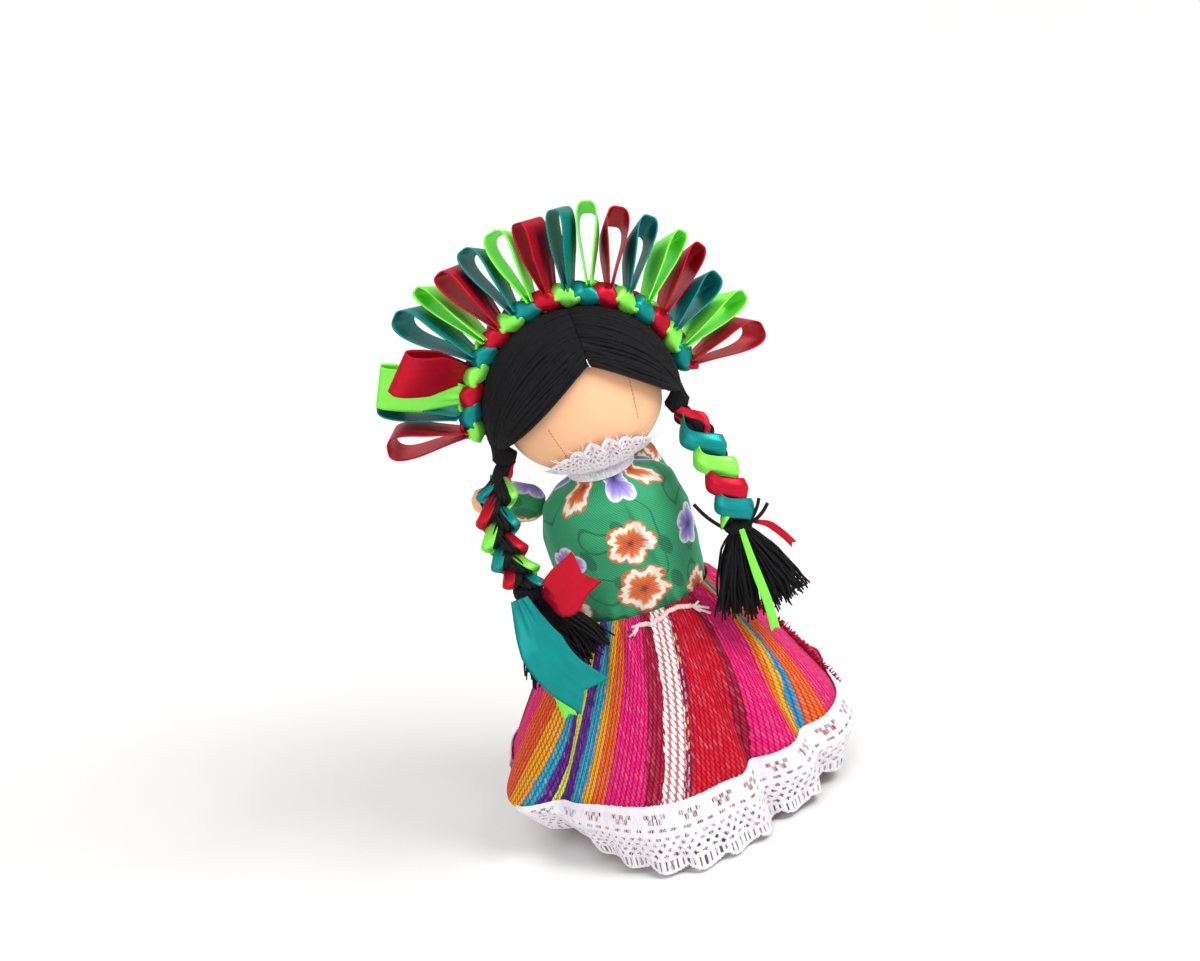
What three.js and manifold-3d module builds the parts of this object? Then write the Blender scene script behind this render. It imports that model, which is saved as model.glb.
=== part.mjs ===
// Cloth doll: stuffed body, printed blouse, gathered striped skirt with a lace hem, yarn hair in two
// ribbon-laced braids, and a headdress of satin ribbon loops on a braided crown.
// Millimetres, +Z up. The doll faces -Y, and left and right are those of someone facing it.
// The origin is on the table, under the middle of the hem.

import * as THREE from "three";
import { mergeVertices } from "three/addons/utils/BufferGeometryUtils.js";
import Module from "manifold-3d";

const wasm = await Module();
wasm.setup();

// Clearances and cloth
const GAP = 0.3; // between pieces that lie against each other
const CLOTH = 0.8; // wall of blouse, sleeves, skirt and lace
const RIBBON_WIDTH = 10;
const RIBBON_THICKNESS = 0.5;

// Stuffed torso and neck
const WAIST_Z = 48;
const TORSO_WIDTH = 31;
const TORSO_DEPTH = 23;
const TORSO_HEIGHT = 30; // waist seam to the foot of the neck
const HIP_HEIGHT = 5; // below the waist seam
const NECK_RADIUS = 6.2;
const NECK_LENGTH = 7;

// Stuffed head
const HEAD_WIDTH = 34.6;
const HEAD_DEPTH = 30;
const CHIN_DROP = 13.5; // widest line of the head down to its foot
const CROWN_RISE = 19.5; // widest line up to its top
const NECK_SHOWING = 2.5; // foot of the neck to the foot of the head

// Arms and sleeves
const ARM_LENGTH = 12.5; // shoulder seam to hand
const ARM_RADIUS = 3.2;
const ARM_TURN = { left: 118, right: 150 }; // degrees round from the front at which each arm is sewn on
const ARM_SWEEP = { left: 10, right: 84 }; // degrees back from straight out to the side
const ARM_DROOP = { left: -18, right: 60 }; // degrees below level
const SLEEVE_LENGTH = 8.5;
const SLEEVE_FLARE = 1.4;

// Legs
const LEG_RADIUS = 5;
const LEG_SPACING = 14; // middle to middle
const FOOT_LENGTH = 12.5;
const FOOT_CLEARANCE = 1.2; // above the table

// Skirt and lace hem
const HEM_WIDTH = 79;
const HEM_DEPTH = 73;
const SKIRT_HEM_Z = 8;
const LACE_HEIGHT = 14;
const LACE_TUCK = 8; // how far the lace draws in below the cloth at the sides
const LACE_SPLAY = 3; // how far it spreads at front and back
const FOLD_COUNT = 6; // even, so that front and back reach equally far
const FOLD_DEPTH = 3;
const FOLD_VALLEY_TURN = 20; // degrees round from the front to a valley between folds
const SLOW_FOLDS = 4; // even too: a slower wave that makes the folds unequal
const SLOW_FOLD_SHARE = 0.4;
const FLARE_POWER = 0.86; // under 1 swells the skirt below the waist
const WAIST_CORD_RADIUS = 0.6;
const WAIST_CORD_TURNS = [-12, 43]; // degrees round from the front at its ends

// Lace collar
const COLLAR_FRONT_HEIGHT = 14;
const COLLAR_BACK_HEIGHT = 3;
const COLLAR_FALL = 3; // power with which its height falls off from the front
const COLLAR_RUFFLES = 10;
const RUFFLE_DEPTH = 0.6;

// Yarn hair
const HAIR_SIDE = 4; // thickness at the sides
const HAIR_TOP = 2.6;
const HAIR_FRONT = 2.6;
const HAIR_BACK = 3.4;
const HAIRLINE_RISE = 14; // parting at the brow, above the head's widest line
const HAIR_NAPE_DROP = 5; // lower edge behind, below the widest line
const HAIR_ROOT_RADIUS = 3.6; // bunch above each braid
const PARTING = 0.4; // gap between the two hanks
const PARTING_X = 2.5; // a little to the right of the middle

// Braided crown and ribbon loops
const CROWN_SETBACK = 2;
const CROWN_SWAY = 2; // each ribbon's swing to either side of the arch
const CROWN_LIFT = 1.5; // and in and out
const CROWN_PITCH = 13.5; // length along the arch in which each ribbon weaves once
const LOOP_LENGTH = 16;
const LOOP_PINCH = 0.34; // share of the ribbon's width where the crown holds it
const TAIL_PINCH = 0.5; // and where a braid's tie holds it

// Braids, ties and tassels
const BRAID_LENGTH = 22;
const BRAID_SWAY = 2.45; // each strand's swing to either side
const BRAID_LIFT = 2; // and to front and back
const BRAID_PITCH = 13.5;
const BRAID_TURN = 48; // degrees round from the front at which the tassels hang
const BRAID_FACING = { left: 0, right: -90 }; // degrees by which each plait is turned about its length
const BRAID_COLOURS = { left: ["teal", "lime", "red"], right: ["lime", "teal", "red"] };
const BRAID_SIDE_CLEARANCE = 3.4; // blouse to braid
const TIE_RADIUS = 3.3;
const TIE_HEIGHT = 3.4;
const TASSEL_LENGTH = 20;
const TASSEL_HALF_WIDTH = 8;
const TASSEL_HALF_DEPTH = 4;
const TASSEL_LOBES = 7;
const TASSEL_SWING = { left: 5, right: 1 }; // how far to the right a tassel's foot drifts

const COLOURS = {
  skin: 0xf2b184,
  muslin: 0xe9dcc6,
  print: 0x1f9a63,
  lace: 0xf4f2f3,
  weave: 0xd81b60,
  cord: 0xe6d3d0,
  yarn: 0x121214,
  red: 0xb3122a,
  teal: 0x14807d,
  lime: 0x6fe34d,
};

const RIBBON_COLOURS = ["red", "teal", "lime"];
const SATIN = 0.4; // roughness of the ribbons
const SKIN = 0.75; // and of the stuffed cotton
const WELD = 1e-4; // corners nearer than this are one corner

const FULL_TURN = 2 * Math.PI;
const SIDES = { left: -1, right: 1 };
const ends = (low, high, share) => THREE.MathUtils.lerp(low, high, share);
const point = (x, y, z) => new THREE.Vector3(x, y, z);

// Geometry with its faces pointing out.
function outward(geometry) {
  const position = geometry.getAttribute("position");
  const index = geometry.index.array;
  const corner = (i) => new THREE.Vector3().fromBufferAttribute(position, index[i]);
  let volume = 0;
  for (let i = 0; i < index.length; i += 3) {
    volume += corner(i).dot(corner(i + 1).cross(corner(i + 2)));
  }
  if (volume < 0) {
    for (let i = 0; i < index.length; i += 3) {
      [index[i + 1], index[i + 2]] = [index[i + 2], index[i + 1]];
    }
  }
  return geometry;
}

// Closed surface through rings of equal count, capped at both ends. `tips` are the caps' own points.
function sweep(rings, tips = []) {
  const count = rings[0].length;
  const points = rings.flat();
  const faces = [];
  for (let i = 0; i < rings.length - 1; i++) {
    addBand(faces, i * count, (i + 1) * count, count);
  }
  [rings[0], rings[rings.length - 1]].forEach((rim, end) => {
    const middle = rim.reduce((sum, p) => sum.add(p), point(0, 0, 0)).divideScalar(count);
    const first = end * (rings.length - 1) * count;
    points.push(tips[end] ?? middle);
    for (let k = 0; k < count; k++) {
      const next = (k + 1) % count;
      faces.push(points.length - 1, first + (end ? k : next), first + (end ? next : k));
    }
  });
  return outward(surface(points, faces));
}

// Closed wall through rings that go up the outside and come down the inside.
function wall(rings) {
  const count = rings[0].length;
  const faces = [];
  rings.forEach((_, i) => {
    addBand(faces, i * count, ((i + 1) % rings.length) * count, count);
  });
  return outward(surface(rings.flat(), faces));
}

function addBand(faces, low, high, count) {
  for (let k = 0; k < count; k++) {
    const next = (k + 1) % count;
    faces.push(low + k, low + next, high + next, low + k, high + next, high + k);
  }
}

function surface(points, faces) {
  const geometry = new THREE.BufferGeometry().setFromPoints(points);
  geometry.setIndex(faces);
  return geometry;
}

// Ring of `count` points given by a function of the turn, which starts at the front and goes to the right.
function ring(count, at) {
  return Array.from({ length: count }, (_, k) => at((k / count) * FULL_TURN));
}

const oval = (halfWidth, halfDepth, y, z) => (turn) =>
  point(halfWidth * Math.sin(turn), y - halfDepth * Math.cos(turn), z);

// Geometry with shared corners, and nothing but its positions.
function welded(geometry) {
  geometry.deleteAttribute("normal");
  geometry.deleteAttribute("uv");
  return mergeVertices(geometry, WELD);
}

function toSolid(geometry) {
  const merged = welded(geometry);
  return new wasm.Manifold(
    new wasm.Mesh({
      numProp: 3,
      vertProperties: Float32Array.from(merged.getAttribute("position").array),
      triVerts: Uint32Array.from(merged.index.array),
    }),
  );
}

function toGeometry(solid) {
  const { vertProperties, triVerts } = solid.getMesh();
  const geometry = new THREE.BufferGeometry();
  geometry.setAttribute("position", new THREE.BufferAttribute(vertProperties, 3));
  geometry.setIndex(new THREE.BufferAttribute(triVerts, 1));
  return geometry;
}

// Egg-shaped stuffed form: halfWidth, halfDepth, below and above its widest line at y, z.
const EGG_SIDES = 20;
const EGG_RINGS = 10;

function eggGeometry(egg) {
  const rings = [];
  for (let i = 1; i < EGG_RINGS; i++) {
    const rise = Math.PI * (i / EGG_RINGS - 0.5);
    const swell = Math.cos(rise);
    const z = egg.z + (rise < 0 ? egg.below : egg.above) * Math.sin(rise);
    rings.push(ring(EGG_SIDES, oval(egg.halfWidth * swell, egg.halfDepth * swell, egg.y, z)));
  }
  return sweep(rings, [point(0, egg.y, egg.z - egg.below), point(0, egg.y, egg.z + egg.above)]);
}

const grown = (egg, by) => ({
  ...egg,
  halfWidth: egg.halfWidth + by,
  halfDepth: egg.halfDepth + by,
  below: egg.below + by,
  above: egg.above + by,
});

// How far out an egg reaches at a height, as a share of its widest line.
function eggShare(egg, z) {
  const share = (z - egg.z) / (z < egg.z ? egg.below : egg.above);
  return Math.sqrt(Math.max(0, 1 - share * share));
}

// Tube along a curve, with rings square to it.
function tube(curve, radius, steps, sides) {
  const frames = curve.computeFrenetFrames(steps, false);
  const rings = [];
  for (let i = 0; i <= steps; i++) {
    const centre = curve.getPoint(i / steps);
    rings.push(
      ring(sides, (turn) =>
        centre
          .clone()
          .addScaledVector(frames.normals[i], radius * Math.cos(turn))
          .addScaledVector(frames.binormals[i], radius * Math.sin(turn)),
      ),
    );
  }
  return sweep(rings);
}

// Ribbon through a list of stations, each with its point, its direction across and its width.
function ribbon(stations) {
  const rings = stations.map(({ at, across, width }, i) => {
    const before = stations[Math.max(0, i - 1)].at;
    const after = stations[Math.min(stations.length - 1, i + 1)].at;
    const along = after.clone().sub(before).normalize();
    const half = across.clone().addScaledVector(along, -across.dot(along)).setLength(width / 2);
    const face = along.clone().cross(half).setLength(RIBBON_THICKNESS / 2);
    return [
      at.clone().add(half).add(face),
      at.clone().sub(half).add(face),
      at.clone().sub(half).sub(face),
      at.clone().add(half).sub(face),
    ];
  });
  return sweep(rings);
}

const doll = new THREE.Group();

function addPiece(parent, name, geometry, colour, roughness = 0.9) {
  const material = new THREE.MeshStandardMaterial({ color: colour, roughness, metalness: 0 });
  const mesh = new THREE.Mesh(geometry, material);
  mesh.name = name;
  parent.add(mesh);
  return mesh;
}

// Torso: hips, waist, chest and shoulders closing on the neck. Heights are shares of the torso's.
const TORSO_SIDES = 24;
const HIP_SPREAD = 0.72; // share of the torso's width that the hips close to
const TORSO_PROFILE = [
  { height: 0, spread: 0.93 },
  { height: 0.3, spread: 1 },
  { height: 0.62, spread: 1 },
  { height: 0.84, spread: 0.9 },
  { height: 0.95, spread: 0.68 },
];
const neckFootZ = WAIST_Z + TORSO_HEIGHT;

function torsoRings(grow, footZ) {
  const level = (halfWidth, halfDepth, z) =>
    ring(TORSO_SIDES, oval(halfWidth + grow, halfDepth + grow, 0, z));
  const rings = TORSO_PROFILE.map(({ height, spread }) =>
    level((spread * TORSO_WIDTH) / 2, (spread * TORSO_DEPTH) / 2, WAIST_Z + height * TORSO_HEIGHT),
  );
  const foot = TORSO_PROFILE[0].spread;
  rings.unshift(level((foot * TORSO_WIDTH) / 2, (foot * TORSO_DEPTH) / 2, footZ));
  rings.push(level(NECK_RADIUS, NECK_RADIUS, neckFootZ + grow));
  return rings;
}

function torsoGeometry() {
  const rings = torsoRings(0, WAIST_Z - HIP_HEIGHT / 2);
  const hip = oval((HIP_SPREAD * TORSO_WIDTH) / 2, (HIP_SPREAD * TORSO_DEPTH) / 2, 0, WAIST_Z - HIP_HEIGHT);
  rings.unshift(ring(TORSO_SIDES, hip));
  rings.push(ring(TORSO_SIDES, oval(NECK_RADIUS, NECK_RADIUS, 0, neckFootZ + NECK_LENGTH)));
  return sweep(rings);
}

addPiece(doll, "torso", torsoGeometry(), COLOURS.muslin);

// Blouse: a wall of cloth over the torso, from just below the waist seam to the neckline.
const BLOUSE_TUCK = 1; // below the waist seam, inside the skirt
const blouseOuter = GAP + CLOTH;
const necklineZ = neckFootZ + blouseOuter;

function blouseGeometry() {
  const outside = torsoRings(blouseOuter, WAIST_Z - BLOUSE_TUCK);
  const inside = torsoRings(GAP, WAIST_Z - BLOUSE_TUCK);
  return wall([...outside, ...inside.reverse()]);
}

addPiece(doll, "blouse", blouseGeometry(), COLOURS.print);

// Head: an egg set over the neck, which runs up into a socket in its foot.
const headEgg = {
  halfWidth: HEAD_WIDTH / 2,
  halfDepth: HEAD_DEPTH / 2,
  below: CHIN_DROP,
  above: CROWN_RISE,
  y: 0,
  z: neckFootZ + NECK_SHOWING + CHIN_DROP,
};

function headGeometry() {
  const neckTop = neckFootZ + NECK_LENGTH + GAP;
  const socketRadius = NECK_RADIUS + GAP;
  const socket = sweep([
    ring(TORSO_SIDES, oval(socketRadius, socketRadius, 0, neckFootZ)),
    ring(TORSO_SIDES, oval(socketRadius, socketRadius, 0, neckTop)),
  ]);
  return toGeometry(toSolid(eggGeometry(headEgg)).subtract(toSolid(socket)));
}

addPiece(doll, "head", headGeometry(), COLOURS.skin, SKIN);

// Lace collar: a ruffle that stands on the neckline and cups the chin, highest in front.
const COLLAR_SIDES = 40;
const COLLAR_SHARES = [0, 0.35, 0.7, 1]; // of its height, foot to top

function collarRing(share, grow) {
  return ring(COLLAR_SIDES, (turn) => {
    const front = (1 + Math.cos(turn)) / 2;
    const height = ends(COLLAR_BACK_HEIGHT, COLLAR_FRONT_HEIGHT, front ** COLLAR_FALL);
    const z = necklineZ + GAP + share * height;
    const chin = eggShare(headEgg, z);
    const ruffle = RUFFLE_DEPTH * share * Math.cos(COLLAR_RUFFLES * turn);
    const clear = GAP + RUFFLE_DEPTH + ruffle + grow;
    const halfWidth = Math.max(NECK_RADIUS, headEgg.halfWidth * chin) + clear;
    const halfDepth = Math.max(NECK_RADIUS, headEgg.halfDepth * chin) + clear;
    return oval(halfWidth, halfDepth, 0, z)(turn);
  });
}

function collarGeometry() {
  const outside = COLLAR_SHARES.map((share) => collarRing(share, CLOTH));
  const inside = COLLAR_SHARES.map((share) => collarRing(share, 0));
  return wall([...outside, ...inside.reverse()]);
}

addPiece(doll, "collar_lace", collarGeometry(), COLOURS.lace);

// Arms and sleeves, each pair in a group at its shoulder seam. A round end turns against the blouse.
const ARM_SEGMENTS = 12;
const ROUND_STEPS = 3;
const ARMHOLE_TURN = 0.35; // from the arm's axis to the armhole seam
const ARM_PROFILE = [
  { along: 0.55, spread: 0.83 },
  { along: 0.77, spread: 0.92 },
  { along: 0.93, spread: 0.65 },
  { along: 1, spread: 0 },
];
const sleeveRadius = ARM_RADIUS + GAP + CLOTH;
const shoulder = TORSO_PROFILE[TORSO_PROFILE.length - 2];
const shoulderClear = blouseOuter + GAP + sleeveRadius;
const aroundShoulders = oval(
  (shoulder.spread * TORSO_WIDTH) / 2 + shoulderClear,
  (shoulder.spread * TORSO_DEPTH) / 2 + shoulderClear,
  0,
  WAIST_Z + shoulder.height * TORSO_HEIGHT,
);

function lathe(profile) {
  return outward(welded(new THREE.LatheGeometry(profile, ARM_SEGMENTS)));
}

// Quarter round from the axis out to `radius`, round the origin, on the shoulder side.
function roundEnd(radius, from = 0) {
  return Array.from({ length: ROUND_STEPS + 1 }, (_, i) => {
    const turn = ends(from, Math.PI / 2, i / ROUND_STEPS);
    return new THREE.Vector2(radius * Math.sin(turn), -radius * Math.cos(turn));
  });
}

function armGeometry() {
  const profile = roundEnd(ARM_RADIUS);
  for (const { along, spread } of ARM_PROFILE) {
    profile.push(new THREE.Vector2(spread * ARM_RADIUS, along * ARM_LENGTH));
  }
  return lathe(profile);
}

function sleeveGeometry() {
  const layer = (radius) => [
    ...roundEnd(radius, ARMHOLE_TURN),
    new THREE.Vector2(radius + SLEEVE_FLARE, SLEEVE_LENGTH),
  ];
  const outside = layer(sleeveRadius);
  const inside = layer(ARM_RADIUS + GAP);
  return lathe([...outside, ...inside.reverse(), outside[0].clone()]);
}

const LATHE_AXIS = point(0, 1, 0);

for (const [side, sign] of Object.entries(SIDES)) {
  const sweepBack = THREE.MathUtils.degToRad(ARM_SWEEP[side]);
  const droop = THREE.MathUtils.degToRad(ARM_DROOP[side]);
  const direction = point(sign * Math.cos(sweepBack), Math.sin(sweepBack), -Math.tan(droop)).normalize();
  const arm = new THREE.Group();
  arm.position.copy(aroundShoulders(sign * THREE.MathUtils.degToRad(ARM_TURN[side])));
  arm.quaternion.setFromUnitVectors(LATHE_AXIS, direction);
  addPiece(arm, `arm_${side}`, armGeometry(), COLOURS.skin, SKIN);
  addPiece(arm, `sleeve_${side}`, sleeveGeometry(), COLOURS.print);
  doll.add(arm);
}

// Legs: stuffed tubes sewn under the hips, each with a round top and a flat-soled foot.
// Drop is a share of the leg's length below the hip, across and deep are shares of its radius, and
// forward is a share of how far the toe stands out.
const LEG_SIDES = 14;
const ANKLE_DEEP = 0.74;
const footDeep = FOOT_LENGTH / (2 * LEG_RADIUS);
const LEG_PROFILE = [
  { drop: -0.1, across: 0.7, deep: 0.7, forward: 0 },
  { drop: 0, across: 1, deep: 1, forward: 0 },
  { drop: 0.45, across: 0.86, deep: 0.86, forward: 0 },
  { drop: 0.8, across: 0.72, deep: ANKLE_DEEP, forward: 0 },
  { drop: 0.9, across: 0.78, deep: 0.84 * footDeep, forward: 0.7 },
  { drop: 0.97, across: 0.82, deep: footDeep, forward: 1 },
  { drop: 1, across: 0.7, deep: 0.88 * footDeep, forward: 1 },
];
const hipZ = WAIST_Z - HIP_HEIGHT - GAP - LEG_RADIUS;

function legGeometry(x) {
  const length = hipZ - FOOT_CLEARANCE;
  const toe = (footDeep - ANKLE_DEEP) * LEG_RADIUS;
  const rings = LEG_PROFILE.map(({ drop, across, deep, forward }) => {
    const level = oval(across * LEG_RADIUS, deep * LEG_RADIUS, -forward * toe, hipZ - drop * length);
    return ring(LEG_SIDES, (turn) => level(turn).add(point(x, 0, 0)));
  });
  return sweep(rings, [point(x, 0, hipZ + LEG_RADIUS)]);
}

for (const [side, sign] of Object.entries(SIDES)) {
  addPiece(doll, `leg_${side}`, legGeometry((sign * LEG_SPACING) / 2), COLOURS.skin, SKIN);
}

// Skirt and lace hem share one gathered surface, from the waist down to the table.
const SKIRT_SIDES = 64;
const skirtWaist = {
  halfWidth: (TORSO_PROFILE[0].spread * TORSO_WIDTH) / 2 + blouseOuter + GAP + CLOTH,
  halfDepth: (TORSO_PROFILE[0].spread * TORSO_DEPTH) / 2 + blouseOuter + GAP + CLOTH,
};
const hemFall = (WAIST_Z - SKIRT_HEM_Z) / WAIST_Z;

// Fold of the cloth at a turn: 1 stands out most, -1 is the deepest valley.
function foldAt(turn) {
  const fromValley = turn - THREE.MathUtils.degToRad(FOLD_VALLEY_TURN);
  const main = -Math.cos(FOLD_COUNT * fromValley);
  const slower = -Math.cos(SLOW_FOLDS * fromValley);
  return (main + SLOW_FOLD_SHARE * slower) / (1 + SLOW_FOLD_SHARE);
}

function skirtPoint(turn, z, grow) {
  const fall = (WAIST_Z - z) / WAIST_Z;
  const flare = Math.min(1, fall / hemFall) ** FLARE_POWER;
  const belowCloth = Math.max(0, fall - hemFall) / (1 - hemFall);
  const tuck = belowCloth * ends(-LACE_SPLAY, LACE_TUCK, Math.sin(turn) ** 2);
  const reach = FOLD_DEPTH * fall * foldAt(turn) - tuck + grow;
  const halfWidth = ends(skirtWaist.halfWidth, HEM_WIDTH / 2, flare) + reach;
  const halfDepth = ends(skirtWaist.halfDepth, HEM_DEPTH / 2, flare) + reach;
  return oval(halfWidth, halfDepth, 0, z)(turn);
}

// Wall of cloth through some heights of the gathered surface, standing `clear` outside it.
function gathered(levels, clear) {
  const at = (grow) => levels.map((z) => ring(SKIRT_SIDES, (turn) => skirtPoint(turn, z, grow)));
  return wall([...at(clear), ...at(clear - CLOTH).reverse()]);
}

const CLOTH_SHARES = [1, 0.66, 0.33, 0]; // heights of the cloth above the lace's top, waist to foot
const clothLevels = CLOTH_SHARES.map((share) => ends(LACE_HEIGHT, WAIST_Z, share));
addPiece(doll, "skirt", gathered([...clothLevels, SKIRT_HEM_Z], 0), COLOURS.weave);
addPiece(doll, "hem_lace", gathered([LACE_HEIGHT, SKIRT_HEM_Z, 0], GAP + CLOTH), COLOURS.lace);

// White cord laid along the front of the waist seam.
const CORD_POINTS = 7;
const CORD_SIDES = 6;

function waistCordGeometry() {
  const [from, to] = WAIST_CORD_TURNS.map(THREE.MathUtils.degToRad);
  const z = WAIST_Z - 2 * WAIST_CORD_RADIUS;
  const route = Array.from({ length: CORD_POINTS }, (_, i) =>
    skirtPoint(ends(from, to, i / (CORD_POINTS - 1)), z, GAP + WAIST_CORD_RADIUS),
  );
  return tube(new THREE.CatmullRomCurve3(route), WAIST_CORD_RADIUS, 2 * CORD_POINTS, CORD_SIDES);
}

addPiece(doll, "waist_cord", waistCordGeometry(), COLOURS.cord);

// Hair: two hanks of yarn combed from the middle parting to a bunch above each braid.
const hairEgg = {
  halfWidth: headEgg.halfWidth + HAIR_SIDE,
  halfDepth: headEgg.halfDepth + (HAIR_FRONT + HAIR_BACK) / 2,
  below: headEgg.below + HAIR_SIDE,
  above: headEgg.above + HAIR_TOP,
  y: (HAIR_BACK - HAIR_FRONT) / 2,
  z: headEgg.z,
};
const hairRoot = {
  x: hairEgg.halfWidth - HAIR_ROOT_RADIUS / 2,
  y: -HAIR_ROOT_RADIUS,
  z: headEgg.z - HAIR_ROOT_RADIUS / 2,
};
const napeZ = headEgg.z - HAIR_NAPE_DROP;
const WELL_CLEAR = 2; // how many times past the hair a cutting block reaches

function block(lowX, highX, lowZ, highZ, reach) {
  const geometry = new THREE.BoxGeometry(highX - lowX, 2 * reach, highZ - lowZ);
  return welded(geometry.translate((lowX + highX) / 2, 0, (lowZ + highZ) / 2));
}

// The bare face: under two locks that part at the brow and fall to the sides of the head.
const LOCK_WIDTH = 0.66; // where each lock's edge bends, as a share of the head's half width
const LOCK_HEIGHT = 0.6; // and as a share of the parting's rise
const LOCK_SEGMENTS = 6;
const FACE_BACK = 0.9; // how far behind the middle of the head the bare face ends

function faceWindow() {
  const reach = hairEgg.halfDepth * WELL_CLEAR;
  const side = headEgg.halfWidth + GAP;
  const bend = LOCK_WIDTH * headEgg.halfWidth;
  const bendZ = LOCK_HEIGHT * HAIRLINE_RISE;
  const cheekZ = -HAIR_ROOT_RADIUS / 2;
  const outline = new THREE.Shape();
  outline.moveTo(-side, -reach);
  outline.lineTo(-side, cheekZ);
  outline.quadraticCurveTo(-bend, bendZ, PARTING_X, HAIRLINE_RISE);
  outline.quadraticCurveTo(bend, bendZ, side, cheekZ);
  outline.lineTo(side, -reach);
  const cut = { depth: reach, bevelEnabled: false, curveSegments: LOCK_SEGMENTS };
  const geometry = new THREE.ExtrudeGeometry(outline, cut);
  geometry.rotateX(Math.PI / 2);
  return welded(geometry.translate(0, FACE_BACK, headEgg.z));
}

function hairGeometry(sign) {
  const reach = hairEgg.halfWidth * WELL_CLEAR;
  const top = hairEgg.z + hairEgg.above * WELL_CLEAR;
  const edge = PARTING_X + (sign * PARTING) / 2;
  const [lowX, highX] = sign < 0 ? [-reach, edge] : [edge, reach];
  const half = block(lowX, highX, napeZ, top, reach);
  const bunch = eggGeometry({
    halfWidth: HAIR_ROOT_RADIUS,
    halfDepth: HAIR_ROOT_RADIUS,
    below: HAIR_ROOT_RADIUS,
    above: HAIR_ROOT_RADIUS * 2,
    y: hairRoot.y,
    z: hairRoot.z,
  }).translate(sign * hairRoot.x, 0, 0);
  const cap = toSolid(eggGeometry(hairEgg)).intersect(toSolid(half)).subtract(toSolid(faceWindow()));
  return toGeometry(cap.add(toSolid(bunch)).subtract(toSolid(eggGeometry(grown(headEgg, GAP)))));
}

for (const [side, sign] of Object.entries(SIDES)) {
  addPiece(doll, `hair_${side}`, hairGeometry(sign), COLOURS.yarn);
}

// Plait of three strands: each sways from side to side once a pitch and lifts twice. Sections square to
// the plait fit in discs, as thick as the nearest approach of two strands allows.
const PLAIT_SIDES = 6;

function plaitRadius(sway, lift) {
  const nearest = Math.sqrt(3 * (sway ** 2 / 2 - sway ** 4 / (16 * lift ** 2)));
  return (nearest - GAP) / 2;
}

// Where strand number `order` runs, across and in front of the plait's middle, at a share of its length.
function strandPlace({ sway, lift, turns }, order, share) {
  const phase = FULL_TURN * (turns * share + order / RIBBON_COLOURS.length);
  return { across: sway * Math.sin(phase), ahead: lift * Math.sin(2 * phase) };
}

// That strand, with a section given as points across and in front of its own middle.
function plaitStrand(plait, order, section) {
  const rings = Array.from({ length: plait.steps + 1 }, (_, i) => {
    const share = i / plait.steps;
    const { centre, wide, deep } = plait.frameAt(share);
    const { across, ahead } = strandPlace(plait, order, share);
    return section.map(({ x, y }) =>
      centre
        .clone()
        .addScaledVector(wide, across + x)
        .addScaledVector(deep, ahead + y),
    );
  });
  return sweep(rings);
}

function ovalSection(halfWidth, halfDepth, ahead) {
  return Array.from({ length: PLAIT_SIDES }, (_, k) => {
    const turn = (k / PLAIT_SIDES) * FULL_TURN;
    return new THREE.Vector2(halfWidth * Math.cos(turn), ahead + halfDepth * Math.sin(turn));
  });
}

// Crown: three ribbons plaited into an arch that lies on the hair from one braid to the other.
const crownHalfDepth = CROWN_LIFT + plaitRadius(CROWN_SWAY, CROWN_LIFT);
const crownArch = {
  halfWidth: hairEgg.halfWidth + GAP + crownHalfDepth,
  rise: hairEgg.above + GAP + crownHalfDepth,
  y: hairEgg.y + CROWN_SETBACK,
  z: hairEgg.z,
};
const crownSpan = Math.PI; // from above one braid, over the top, to above the other
const CROWN_STEPS = 54;
const crownRadius = (crownArch.halfWidth + crownArch.rise) / 2;
const BACK = point(0, 1, 0);
const FRONT = point(0, -1, 0);

function archNormal(turn) {
  return point(-Math.cos(turn) / crownArch.halfWidth, 0, Math.sin(turn) / crownArch.rise).normalize();
}

function archPoint(turn, out) {
  const across = -crownArch.halfWidth * Math.cos(turn);
  const up = crownArch.rise * Math.sin(turn);
  return point(across, crownArch.y, crownArch.z + up).addScaledVector(archNormal(turn), out);
}

const crownPlait = {
  sway: CROWN_SWAY,
  lift: CROWN_LIFT,
  turns: (crownSpan * crownRadius) / CROWN_PITCH,
  steps: CROWN_STEPS,
  frameAt: (share) => ({
    centre: archPoint(share * crownSpan, 0),
    wide: BACK,
    deep: archNormal(share * crownSpan),
  }),
};

const crownStrand = plaitRadius(CROWN_SWAY, CROWN_LIFT);
const crownSection = ovalSection(crownStrand, crownStrand, 0);

RIBBON_COLOURS.forEach((colour, order) => {
  const strand = plaitStrand(crownPlait, order, crownSection);
  addPiece(doll, `crown_ribbon_${colour}`, strand, COLOURS[colour], SATIN);
});

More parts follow.
